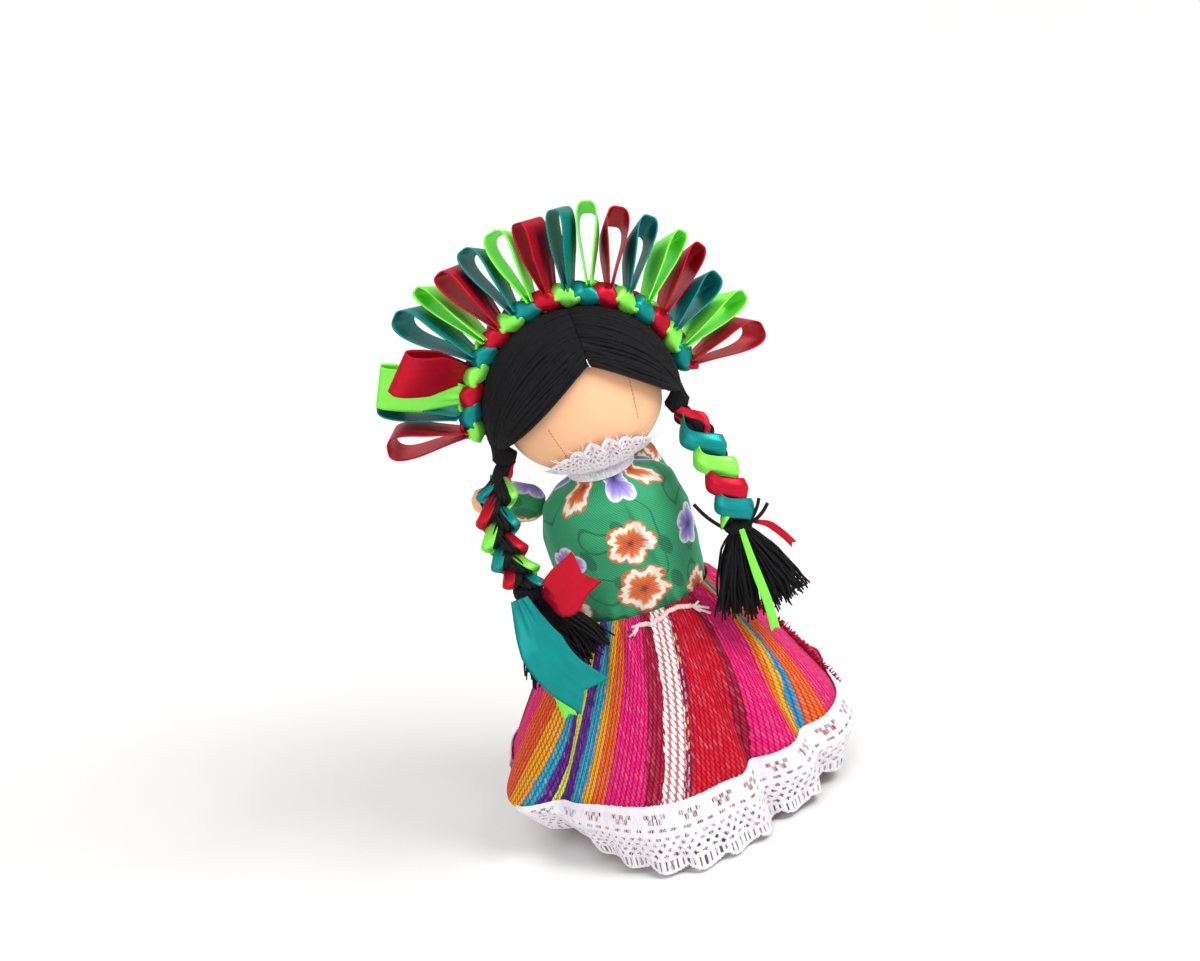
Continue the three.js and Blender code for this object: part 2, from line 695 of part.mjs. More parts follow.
// Headdress: ribbon loops that stand out of the crown. Lean is back from the plane of the crown and
// twist is about the loop's own length, both in degrees; reach is a share of the loop length; full is
// how far the loop opens, as a share of its half of the room between neighbours.
const LOOPS = [
  { lean: 16, twist: 4, reach: 0.95, full: 1.1 },
  { lean: 40, twist: 0, reach: 1.04, full: 0.74 },
  { lean: 4, twist: 82, reach: 1.1, full: 0.46 },
  { lean: -35, twist: 80, reach: 1.2, full: 0.64 },
  { lean: 36, twist: -6, reach: 1.08, full: 1.15 },
  { lean: 40, twist: -8, reach: 1.04, full: 0.6 },
  { lean: 28, twist: -16, reach: 0.94, full: 0.85 },
  { lean: 32, twist: -12, reach: 0.92, full: 0.95 },
  { lean: 26, twist: -14, reach: 0.9, full: 1.1 },
  { lean: 18, twist: -32, reach: 0.92, full: 0.6 },
  { lean: 14, twist: -24, reach: 0.96, full: 0.65 },
  { lean: 30, twist: -14, reach: 0.96, full: 0.85 },
  { lean: 40, twist: -8, reach: 0.92, full: 1.05 },
  { lean: 42, twist: -6, reach: 0.92, full: 0.9 },
  { lean: 36, twist: -2, reach: 0.94, full: 0.65 },
  { lean: 44, twist: -8, reach: 1, full: 0.8 },
  { lean: 46, twist: -6, reach: 0.9, full: 1 },
  { lean: 34, twist: -6, reach: 1.02, full: 0.75 },
  { lean: 20, twist: -6, reach: 0.97, full: 1.15 },
];
const LOOP_STATIONS = 15;
const TEARDROP_POWER = 0.8;
const TEARDROP_SWELL = 1.25; // brings the teardrop's widest place to its full opening
const PINCH_RUN = 1.4; // how soon the ribbon spreads to its full width above the crown
const loopSpread = 0.96; // share of the crown's span that carries loops
const loopStep = (loopSpread * crownSpan) / (LOOPS.length - 1);
const loopFootRadius = crownRadius + crownHalfDepth + GAP;

const loopStem = (RIBBON_THICKNESS + GAP) / 2; // from a loop's middle to each of its two ends
const FOOT_SAMPLES = [-1, -0.5, 0, 0.5, 1]; // across a loop's foot, as shares of its half size

// Height above the arch at which a loop's foot, set along two directions, clears every strand of the crown.
function loopFootHeight(turn, opening, across) {
  const normal = archNormal(turn);
  const tangent = BACK.clone().cross(normal);
  const halfOpen = loopStem + RIBBON_THICKNESS / 2;
  const halfWide = (LOOP_PINCH * RIBBON_WIDTH) / 2;
  const clear = crownStrand + GAP;
  let height = 0;
  for (const u of FOOT_SAMPLES) {
    for (const v of FOOT_SAMPLES) {
      const spot = opening.clone().multiplyScalar(u * halfOpen).addScaledVector(across, v * halfWide);
      const share = (turn + spot.dot(tangent) / crownRadius) / crownSpan;
      RIBBON_COLOURS.forEach((_, order) => {
        const strand = strandPlace(crownPlait, order, share);
        const beside = Math.min(clear, Math.abs(spot.dot(BACK) - strand.across));
        const over = Math.sqrt(clear ** 2 - beside ** 2);
        height = Math.max(height, strand.ahead + over - spot.dot(normal));
      });
    }
  }
  return height;
}

function loopGeometry(turn, { lean, twist, reach, full }) {
  const tilt = THREE.MathUtils.degToRad(lean);
  const length = LOOP_LENGTH * reach;
  const outwards = archNormal(turn).multiplyScalar(Math.cos(tilt)).addScaledVector(BACK, Math.sin(tilt));
  const opening = BACK.clone().cross(archNormal(turn));
  opening.applyAxisAngle(outwards, THREE.MathUtils.degToRad(twist)).normalize();
  const across = outwards.clone().cross(opening);
  const foot = archPoint(turn, loopFootHeight(turn, opening, across));
  const stations = Array.from({ length: LOOP_STATIONS }, (_, i) => {
    const round = FULL_TURN * (i / (LOOP_STATIONS - 1));
    const out = (1 - Math.cos(round)) / 2;
    const room = (loopStep * (loopFootRadius + out * length * Math.cos(tilt)) - RIBBON_THICKNESS - GAP) / 2;
    const teardrop = TEARDROP_SWELL * (out * Math.abs(Math.sin(round))) ** TEARDROP_POWER;
    const swell = full * (room - loopStem) * teardrop;
    const atTip = i === (LOOP_STATIONS - 1) / 2;
    const open = atTip ? 0 : Math.sign(Math.PI - round) * (loopStem + swell);
    const at = foot.clone().addScaledVector(outwards, out * length).addScaledVector(opening, open);
    const width = RIBBON_WIDTH * ends(LOOP_PINCH, 1, Math.min(1, PINCH_RUN * out));
    return { at, across, width };
  });
  return ribbon(stations);
}

LOOPS.forEach((loop, i) => {
  const colour = RIBBON_COLOURS[i % RIBBON_COLOURS.length];
  const turn = crownSpan * ((1 - loopSpread) / 2) + i * loopStep;
  const number = String(i + 1).padStart(2, "0");
  addPiece(doll, `loop_${number}_${colour}`, loopGeometry(turn, loop), COLOURS[colour], SATIN);
});

// Braids: each hangs from its hair bunch down to a yarn tie, with a tassel and ribbon tails below.
// Each of a braid's three strands is a hank of yarn with a ribbon laid on its front.
const BRAID_STEPS = 24;
const LOBE_SWELL = 1.1; // how far a tassel's lobes reach past its half width
const braidStrand = plaitRadius(BRAID_SWAY, BRAID_LIFT);
const braidHalf = BRAID_SWAY + braidStrand;
const braidTop = point(hairRoot.x, hairRoot.y, Math.min(hairRoot.z - HAIR_ROOT_RADIUS, napeZ) - GAP);
const braidFootZ = braidTop.z - BRAID_LENGTH;
const tieFootZ = braidFootZ - 2 * GAP - TIE_HEIGHT;

// Where a tassel hangs clear of the skirt and its braid hangs clear of the blouse.
function braidFootPoint() {
  const turn = THREE.MathUtils.degToRad(BRAID_TURN);
  const skirtBeside = skirtPoint(turn, tieFootZ - TASSEL_LENGTH, GAP);
  const reach = Math.hypot(TASSEL_HALF_WIDTH * Math.sin(turn), TASSEL_HALF_DEPTH * Math.cos(turn));
  const out = point(Math.sin(turn), -Math.cos(turn), 0);
  const foot = skirtBeside.addScaledVector(out, (reach + CLOTH) * LOBE_SWELL);
  const besideBlouse = TORSO_WIDTH / 2 + blouseOuter + BRAID_SIDE_CLEARANCE + braidHalf;
  return point(Math.max(foot.x, besideBlouse, hairRoot.x), foot.y, braidFootZ);
}

const braidFoot = braidFootPoint();

function braidPlait(side) {
  const sign = SIDES[side];
  const facing = THREE.MathUtils.degToRad(BRAID_FACING[side]);
  const outside = point(sign, 0, 0);
  const wide = outside.clone().multiplyScalar(Math.cos(facing)).addScaledVector(FRONT, Math.sin(facing));
  const deep = outside.multiplyScalar(-Math.sin(facing)).addScaledVector(FRONT, Math.cos(facing));
  return {
    sway: BRAID_SWAY,
    lift: BRAID_LIFT,
    turns: BRAID_LENGTH / BRAID_PITCH,
    steps: BRAID_STEPS,
    frameAt: (share) => {
      const sag = share * (2 - share);
      const x = ends(braidTop.x, braidFoot.x, sag);
      const y = ends(braidTop.y, braidFoot.y, sag);
      const centre = point(sign * x, y, ends(braidTop.z, braidFoot.z, share));
      return { centre, wide, deep };
    },
  };
}

// The ribbon and the yarn share the strand's disc, the ribbon in front.
const RIBBON_SEAT = 0.3; // the ribbon's back, as a share of the disc's radius in front of its middle
const YARN_SPREAD = 0.8; // share of the disc's radius that the yarn fills to either side
const ribbonBack = RIBBON_SEAT * braidStrand;
const ribbonFront = ribbonBack + RIBBON_THICKNESS;
const ribbonHalf = Math.sqrt(braidStrand ** 2 - ribbonFront ** 2);
const ribbonSection = [
  new THREE.Vector2(-ribbonHalf, ribbonBack),
  new THREE.Vector2(ribbonHalf, ribbonBack),
  new THREE.Vector2(ribbonHalf, ribbonFront),
  new THREE.Vector2(-ribbonHalf, ribbonFront),
];
const yarnHalfDepth = (braidStrand + ribbonBack - GAP) / 2;
const yarnSection = ovalSection(YARN_SPREAD * braidStrand, yarnHalfDepth, yarnHalfDepth - braidStrand);

// Tie: a few turns of yarn, drawn in above and below.
const TIE_PROFILE = [
  { spread: 0, rise: 0 },
  { spread: 0.82, rise: 0 },
  { spread: 1, rise: 0.3 },
  { spread: 1, rise: 0.7 },
  { spread: 0.82, rise: 1 },
  { spread: 0, rise: 1 },
];

function tieGeometry() {
  const profile = TIE_PROFILE.map(
    ({ spread, rise }) => new THREE.Vector2(spread * TIE_RADIUS, GAP + rise * TIE_HEIGHT),
  );
  return lathe(profile).rotateX(Math.PI / 2);
}

// Tassel: yarn ends that spread below the tie, in a lobed bundle.
const TASSEL_POINTS = 28;
const TASSEL_PROFILE = [
  { drop: 0, spread: 0.34 },
  { drop: 0.12, spread: 0.52 },
  { drop: 0.45, spread: 0.84 },
  { drop: 0.85, spread: 1 },
  { drop: 1, spread: 0.9 },
];

function tasselGeometry(side) {
  const rings = TASSEL_PROFILE.map(({ drop, spread }) =>
    ring(TASSEL_POINTS, (turn) => {
      const lobe = spread * (1 + (LOBE_SWELL - 1) * drop * Math.cos(TASSEL_LOBES * turn));
      const spot = oval(TASSEL_HALF_WIDTH * lobe, TASSEL_HALF_DEPTH * lobe, 0, -drop * TASSEL_LENGTH)(turn);
      return spot.setX(spot.x + drop * TASSEL_SWING[side]);
    }),
  );
  return sweep(rings);
}

// Ribbon tails. Each runs from the tie or the tassel through points given from the middle of the tie's
// foot. Across is the direction of its width at its start and at its end.
const TAIL_STATIONS = 9;
const TAIL_RUN = 2.5; // how soon a tail spreads to its full width below the tie
const TAIL_HOLD = 0.5; // height on the tie, as a share of the tie's
const tailClear = GAP + RIBBON_THICKNESS / 2;

function tailGeometry({ route, across, width }) {
  const curve = new THREE.CatmullRomCurve3(route);
  const stations = Array.from({ length: TAIL_STATIONS }, (_, i) => {
    const share = i / (TAIL_STATIONS - 1);
    const spread = Math.min(1, TAIL_RUN * share);
    return {
      at: curve.getPoint(share),
      across: across[0].clone().lerp(across[1], spread),
      width: width * ends(TAIL_PINCH, 1, spread),
    };
  });
  return ribbon(stations);
}

// Point on the tie, where it holds a tail, and the direction of a ribbon's width that lies flat there.
function onTie(turn) {
  const held = TIE_RADIUS + tailClear;
  return oval(held, held, 0, GAP + TAIL_HOLD * TIE_HEIGHT)(THREE.MathUtils.degToRad(turn));
}

function flatOnTie(turn) {
  const round = THREE.MathUtils.degToRad(turn);
  return point(Math.cos(round), Math.sin(round), 0);
}

// Point below the tie, in ribbon widths, and one in front of a tassel: `off` ribbon widths clear of lying
// on it, at a drop that is a share of the tassel's length.
function belowTie(x, y, z) {
  return point(x, y, z).multiplyScalar(RIBBON_WIDTH);
}

function overTassel(x, off, drop) {
  const share = Math.min(1, drop);
  const i = Math.max(1, TASSEL_PROFILE.findIndex((level) => level.drop >= share));
  const [above, below] = [TASSEL_PROFILE[i - 1], TASSEL_PROFILE[i]];
  const spread = THREE.MathUtils.mapLinear(share, above.drop, below.drop, above.spread, below.spread);
  const front = TASSEL_HALF_DEPTH * LOBE_SWELL * spread + tailClear;
  return point(x * RIBBON_WIDTH, -front - off * RIBBON_WIDTH, -drop * TASSEL_LENGTH);
}

const LEVEL = point(1, 0, 0);
const UPRIGHT = point(0, 0, 1);
const RED_TURN = 52; // degrees round the tie from its front, where each tail is held
const TEAL_TURN = -44;
const CURL_TURN = 60;
const TAILS = {
  left: {
    red: {
      route: [
        onTie(RED_TURN),
        belowTie(0.62, -0.62, 0.02),
        belowTie(0.98, -0.74, 0.3),
        belowTie(1.36, -0.7, 0.92),
      ],
      across: [UPRIGHT, point(-0.7, 0, 1)],
      width: RIBBON_WIDTH * 0.95,
    },
    teal: {
      route: [
        onTie(TEAL_TURN),
        overTassel(-0.14, 0.22, 0.35),
        overTassel(0.12, 0.34, 0.75),
        overTassel(0.66, 0.44, 1.2),
      ],
      across: [flatOnTie(TEAL_TURN), point(1, 0, 0.4)],
      width: RIBBON_WIDTH,
    },
    lime: {
      route: [
        overTassel(-0.04, 0.02, 0.04),
        overTassel(-0.06, 0.02, 0.3),
        overTassel(-0.04, 0.02, 0.9),
        overTassel(0.06, 0.02, 1.4),
      ],
      across: [LEVEL, LEVEL],
      width: RIBBON_WIDTH * 0.3,
    },
  },
  right: {
    lime: {
      route: [onTie(0), overTassel(0.04, 0, 0.4), overTassel(0.06, 0, 0.8), overTassel(0.14, 0, 1.22)],
      across: [LEVEL, LEVEL],
      width: RIBBON_WIDTH * 0.34,
    },
    red: {
      route: [
        onTie(CURL_TURN),
        belowTie(0.6, -0.34, 0.1),
        belowTie(0.84, -0.42, -0.2),
        belowTie(1.02, -0.36, -0.54),
      ],
      across: [UPRIGHT, point(0.6, 0, 1)],
      width: RIBBON_WIDTH * 0.16,
    },
  },
};

for (const [side, sign] of Object.entries(SIDES)) {
  BRAID_COLOURS[side].forEach((colour, order) => {
    const yarn = plaitStrand(braidPlait(side), order, yarnSection);
    addPiece(doll, `braid_${side}_yarn_${order + 1}`, yarn, COLOURS.yarn);
    const laid = plaitStrand(braidPlait(side), order, ribbonSection);
    addPiece(doll, `braid_${side}_${colour}`, laid, COLOURS[colour], SATIN);
  });
  const braidEnd = new THREE.Group();
  braidEnd.position.set(sign * braidFoot.x, braidFoot.y, tieFootZ);
  addPiece(braidEnd, `tie_${side}`, tieGeometry(), COLOURS.yarn);
  addPiece(braidEnd, `tassel_${side}`, tasselGeometry(side), COLOURS.yarn);
  for (const [colour, tail] of Object.entries(TAILS[side])) {
    addPiece(braidEnd, `tail_${side}_${colour}`, tailGeometry(tail), COLOURS[colour], SATIN);
  }
  doll.add(braidEnd);
}

export default doll;
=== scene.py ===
"""Looks of a cloth doll with a ribbon headdress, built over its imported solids.

Shapes are worked out in millimetres and become metres when a mesh is made. The doll faces -Y, +Z is up,
and left and right are those of someone facing it. A turn round the doll is 0 at its front.
"""

import math

import bpy
import numpy as np
from mathutils import Matrix, Vector


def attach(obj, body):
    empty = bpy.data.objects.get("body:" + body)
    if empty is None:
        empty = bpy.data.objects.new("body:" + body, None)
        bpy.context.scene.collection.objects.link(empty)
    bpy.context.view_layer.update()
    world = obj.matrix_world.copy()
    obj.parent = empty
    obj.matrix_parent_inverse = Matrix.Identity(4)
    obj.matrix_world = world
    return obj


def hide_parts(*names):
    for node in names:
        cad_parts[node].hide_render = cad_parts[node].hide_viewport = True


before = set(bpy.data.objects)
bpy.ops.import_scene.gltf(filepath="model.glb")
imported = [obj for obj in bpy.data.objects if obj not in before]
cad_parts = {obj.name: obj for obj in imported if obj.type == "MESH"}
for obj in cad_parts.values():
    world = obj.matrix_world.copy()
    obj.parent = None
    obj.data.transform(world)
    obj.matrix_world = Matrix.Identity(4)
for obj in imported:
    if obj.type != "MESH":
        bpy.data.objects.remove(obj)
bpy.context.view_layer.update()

MM = 0.001
FULL = 2 * np.pi
SIDES = {"left": -1, "right": 1}
RIBBONS = ("red", "teal", "lime")
LEVEL = np.array([1.0, 0.0, 0.0])
FRONT = np.array([0.0, -1.0, 0.0])
BACK = np.array([0.0, 1.0, 0.0])
UPRIGHT = np.array([0.0, 0.0, 1.0])
SEED = 11
chance = np.random.default_rng(SEED)

# Sizes shared with the solids
GAP = 0.3
CLOTH = 0.8
RIBBON_WIDTH = 10
RIBBON_THICKNESS = 0.5
WAIST_Z = 48
TORSO_WIDTH = 31
TORSO_DEPTH = 23
TORSO_HEIGHT = 30
HIP_HEIGHT = 5
NECK_RADIUS = 6.2
NECK_LENGTH = 7
HEAD_WIDTH = 34.6
HEAD_DEPTH = 30
CHIN_DROP = 13.5
CROWN_RISE = 19.5
NECK_SHOWING = 2.5
ARM_LENGTH = 12.5
ARM_RADIUS = 3.2
ARM_TURN = {"left": 118, "right": 150}
ARM_SWEEP = {"left": 10, "right": 84}
ARM_DROOP = {"left": -18, "right": 60}
SLEEVE_LENGTH = 8.5
SLEEVE_FLARE = 1.4
LEG_RADIUS = 5
LEG_SPACING = 14
FOOT_LENGTH = 12.5
FOOT_CLEARANCE = 1.2
HEM_WIDTH = 79
HEM_DEPTH = 73
SKIRT_HEM_Z = 8
LACE_HEIGHT = 14
LACE_TUCK = 8
LACE_SPLAY = 3
FOLD_COUNT = 6
FOLD_DEPTH = 3
FOLD_VALLEY_TURN = 20
SLOW_FOLDS = 4
SLOW_FOLD_SHARE = 0.4
FLARE_POWER = 0.86
HAIR_SIDE = 4
HAIR_TOP = 2.6
HAIR_FRONT = 2.6
HAIR_BACK = 3.4
HAIRLINE_RISE = 14
HAIR_NAPE_DROP = 5
HAIR_ROOT_RADIUS = 3.6
PARTING_X = 2.5
CROWN_SETBACK = 2
CROWN_SWAY = 2
CROWN_LIFT = 1.5
CROWN_PITCH = 13.5
LOOP_LENGTH = 16
LOOP_PINCH = 0.34
BRAID_LENGTH = 22
BRAID_SWAY = 2.45
BRAID_LIFT = 2
BRAID_PITCH = 13.5
BRAID_TURN = 48
BRAID_FACING = {"left": 0, "right": -90}
BRAID_COLOURS = {"left": ("teal", "lime", "red"), "right": ("lime", "teal", "red")}
BRAID_SIDE_CLEARANCE = 3.4
TIE_RADIUS = 3.3
TIE_HEIGHT = 3.4
TASSEL_LENGTH = 20
TASSEL_HALF_WIDTH = 8
TASSEL_HALF_DEPTH = 4

# Flat sizes of the cloth, width by length
SKIRT_FLAT = (246, 42)
LACE_FLAT = (246, 14.6)
BLOUSE_FLAT = (93, 36)
SLEEVE_FLAT = (29, 13)
COLLAR_FLAT = (120, 12.5)


# Arrays of points

LUMP_WAVES = 5
LUMP_PITCHES = (0.6, 1.5)  # lowest and highest pitch among the waves of a lumpy surface


def vec(x, y, z):
    return np.stack(np.broadcast_arrays(x, y, z), axis=-1).astype(float)


def unit(v):
    return v / np.linalg.norm(v, axis=-1, keepdims=True)


def steps(distances, way):
    """Steps of some distances in a direction."""
    return np.asarray(distances)[..., None] * way


def square_to(along, way):
    """Direction nearest to `way` that is square to `along`."""
    return unit(way - np.sum(way * along, axis=-1, keepdims=True) * along)


def mix(low, high, share):
    return low + (high - low) * share


def ease(x):
    x = np.clip(x, 0, 1)
    return x * x * (3 - 2 * x)


def shares(count):
    return np.linspace(0, 1, count)


def oval(half_width, half_depth, y, z, turn):
    return vec(half_width * np.sin(turn), y - half_depth * np.cos(turn), z)


def through(x, places, values):
    """Smooth curve through values at places."""
    places = np.asarray(places, float)
    values = np.asarray(values, float)
    slopes = np.gradient(values, places)
    x = np.clip(x, places[0], places[-1])
    i = np.clip(np.searchsorted(places, x) - 1, 0, len(places) - 2)
    run = places[i + 1] - places[i]
    t = (x - places[i]) / run
    start = values[i] * (1 + 2 * t) * (1 - t) ** 2 + slopes[i] * run * t * (1 - t) ** 2
    end = values[i + 1] * t * t * (3 - 2 * t) + slopes[i + 1] * run * t * t * (t - 1)
    return start + end


def route(points, share):
    """Smooth line through a few points, at shares of its length."""
    points = np.asarray(points, float)
    places = shares(len(points))
    return np.stack([through(share, places, points[:, k]) for k in range(3)], axis=-1)


def lumps(x, y, size, seed):
    """Soft uneven wave from -1 to 1 over a surface, its lumps about `size` across."""
    draw = np.random.default_rng(seed)
    total = 0
    for angle, phase, fine in draw.uniform(0, 1, (LUMP_WAVES, 3)):
        way = x * np.cos(FULL * angle) + y * np.sin(FULL * angle)
        total = total + np.sin(FULL * (way / size * mix(*LUMP_PITCHES, fine) + phase))
    return total / LUMP_WAVES


def hump(turn, middle, width):
    """1 at a turn given in degrees, falling to 0 over about `width` degrees to either side."""
    away = (np.degrees(turn) - middle + 180) % 360 - 180
    return np.exp(-((away / width) ** 2))


def gathers(turn, count, drift=0, slow=0):
    """Waves from -1 to 1 round a piece, count of them, which drift closer together and apart."""
    return np.cos(count * turn + drift * np.sin(slow * turn))


# Modelling

WELD_DISTANCE = 1e-6
SMOOTHING = 0.5


def deselect():
    bpy.ops.object.select_all(action="DESELECT")


def take(piece):
    deselect()
    piece.select_set(True)
    bpy.context.view_layer.objects.active = piece


def weld(piece, outwards=True):
    take(piece)
    bpy.ops.object.mode_set(mode="EDIT")
    bpy.ops.mesh.select_all(action="SELECT")
    bpy.ops.mesh.remove_doubles(threshold=WELD_DISTANCE)
    if outwards:
        bpy.ops.mesh.normals_make_consistent(inside=False)
    bpy.ops.object.mode_set(mode="OBJECT")


def cut_holes(piece, holes):
    """Removes the faces of a flat grid whose middle, as shares of its sides, lies in a hole."""
    mesh = piece.data
    middles = np.empty((len(mesh.polygons), 3))
    mesh.polygons.foreach_get("center", middles.ravel())
    u, v, _ = ((middles + 1) / 2).T
    take(piece)
    bpy.ops.object.mode_set(mode="EDIT")
    bpy.ops.mesh.select_mode(type="FACE")
    bpy.ops.mesh.select_all(action="DESELECT")
    bpy.ops.object.mode_set(mode="OBJECT")
    mesh.polygons.foreach_set("select", holes(u, v))
    bpy.ops.object.mode_set(mode="EDIT")
    bpy.ops.mesh.delete(type="FACE")
    bpy.ops.mesh.select_mode(type="VERT")
    bpy.ops.object.mode_set(mode="OBJECT")


def lay_cloth(name, grid, lay, flat, holes=None, sewn=True):
    """Grid of cloth, flat = (width, length), laid on the surface lay(u, v) with u and v from 0 to 1.

    Where it is sewn, edges that meet are joined, and its faces are turned outwards.
    """
    deselect()
    columns, rows = grid
    bpy.ops.mesh.primitive_grid_add(x_subdivisions=columns, y_subdivisions=rows, size=2)
    piece = bpy.context.object
    piece.name = name
    piece.data.name = name
    if holes:
        cut_holes(piece, holes)
    mesh = piece.data
    spots = np.empty((len(mesh.vertices), 3))
    mesh.vertices.foreach_get("co", spots.ravel())
    u, v, _ = ((spots + 1) / 2).T
    laid = np.ascontiguousarray(lay(u, v) * MM)
    mesh.vertices.foreach_set("co", laid.ravel())
    uv = np.empty((len(mesh.loops), 2))
    layer = mesh.uv_layers.active
    layer.uv.foreach_get("vector", uv.ravel())
    uv *= np.array(flat) * MM
    layer.uv.foreach_set("vector", uv.ravel())
    mesh.update()
    if sewn:
        weld(piece)
    take(piece)
    bpy.ops.object.shade_smooth()
    return piece


def finish_with(piece, kind, **settings):
    take(piece)
    modifier = piece.modifiers.new(kind.lower(), kind)
    for key, value in settings.items():
        setattr(modifier, key, value)
    bpy.ops.object.modifier_apply(modifier=modifier.name)


def thicken(piece, thickness):
    finish_with(piece, "SOLIDIFY", thickness=thickness * MM, offset=0)


def soften(piece, times):
    finish_with(piece, "SMOOTH", factor=SMOOTHING, iterations=times)


def strands(name, paths, radius, round_sides=1, thinning=None):
    """Yarn or thread along each path, joined in one mesh."""
    curve = bpy.data.curves.new(name, "CURVE")
    curve.dimensions = "3D"
    curve.bevel_depth = radius * MM
    curve.bevel_resolution = round_sides
    curve.use_fill_caps = True
    for path in paths:
        spline = curve.splines.new("POLY")
        spline.points.add(len(path) - 1)
        four = np.concatenate([np.asarray(path) * MM, np.ones((len(path), 1))], axis=1)
        spline.points.foreach_set("co", four.ravel())
        if thinning:
            spline.points.foreach_set("radius", thinning(shares(len(path))))
    piece = bpy.data.objects.new(name, curve)
    bpy.context.scene.collection.objects.link(piece)
    take(piece)
    bpy.ops.object.convert(target="MESH")
    piece = bpy.context.object
    weld(piece, outwards=False)
    bpy.ops.object.shade_smooth()
    return piece


def join(main, other):
    take(main)
    other.select_set(True)
    bpy.ops.object.join()


def dress(piece, body, slot, *nodes, finish=None):
    """Lets a piece ride on a body, in its slot's own finish or another, and stand for some of the solids."""
    piece.data.materials.clear()
    piece.data.materials.append(FINISHES[finish or slot])
    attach(piece, body)
    if nodes:
        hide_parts(*nodes)


def declare_cloth(flat, cloth_share=None):
    """Works out a sheet's flat width and length in metres, and its area of cloth from the share of it that
    is cloth where it has holes; nothing is done with them.
    """
    width, length = (size * MM for size in flat)
    area = cloth_share and cloth_share * width * length


# Nodes of the finishes

SHEEN_ROUGHNESS = 0.4


def colour(code):
    """Shader colour of a hex code as it looks on a screen."""
    parts = [int(code[i:i + 2], 16) / 255 for i in (0, 2, 4)]
    linear = [p / 12.92 if p <= 0.04045 else ((p + 0.055) / 1.055) ** 2.4 for p in parts]
    return (*linear, 1)


class Shade:
    """A value in a node tree. Arithmetic on it adds Math nodes."""

    def __init__(self, nodes, socket):
        self.nodes = nodes
        self.socket = socket

    def __add__(self, other):
        return self.nodes.math("ADD", self, other)

    __radd__ = __add__

    def __sub__(self, other):
        return self.nodes.math("SUBTRACT", self, other)

    def __rsub__(self, other):
        return self.nodes.math("SUBTRACT", other, self)

    def __mul__(self, other):
        return self.nodes.math("MULTIPLY", self, other)

    __rmul__ = __mul__

    def __truediv__(self, other):
        return self.nodes.math("DIVIDE", self, other)

    def __gt__(self, other):
        return self.nodes.math("GREATER_THAN", self, other)

    def __lt__(self, other):
        return self.nodes.math("LESS_THAN", self, other)

    def part(self):
        return self.nodes.math("FRACT", self)

    def whole(self):
        return self.nodes.math("FLOOR", self)

    def wave(self):
        """0 to 1 and back once for each whole number."""
        return self.nodes.math("SINE", self * FULL) * 0.5 + 0.5

    def size(self):
        return self.nodes.math("ABSOLUTE", self)

    def power(self, exponent):
        return self.nodes.math("POWER", self, exponent)

    def least(self, other):
        return self.nodes.math("MINIMUM", self, other)

    def most(self, other):
        return self.nodes.math("MAXIMUM", self, other)

    def between(self, low, high):
        """0 below low, 1 above high, and a soft step between."""
        return self.nodes.value("MapRange", {0: self, 1: low, 2: high}, interpolation_type="SMOOTHSTEP")


class Nodes:
    """A node tree whose values are written as expressions."""

    def __init__(self, tree):
        self.tree = tree

    def node(self, kind, inputs=None, **settings):
        made = self.tree.nodes.new("ShaderNode" + kind)
        for name, value in settings.items():
            setattr(made, name, value)
        for key, value in (inputs or {}).items():
            self.feed(made.inputs[key], value)
        return made

    def value(self, kind, inputs=None, output=0, **settings):
        """One output of a new node."""
        return Shade(self, self.node(kind, inputs, **settings).outputs[output])

    def feed(self, socket, value):
        if isinstance(value, Shade):
            self.tree.links.new(value.socket, socket)
        else:
            socket.default_value = value

    def math(self, operation, *values):
        return self.value("Math", dict(enumerate(values)), operation=operation)

    def seen(self):
        """1 where a camera, a reflection or a clear piece shows it, 0 where it only gives light."""
        rays = self.node("LightPath")
        camera, glossy, clear = (
            Shade(self, rays.outputs[f"Is {kind} Ray"]) for kind in ("Camera", "Glossy", "Transmission")
        )
        return camera.most(glossy).most(clear)


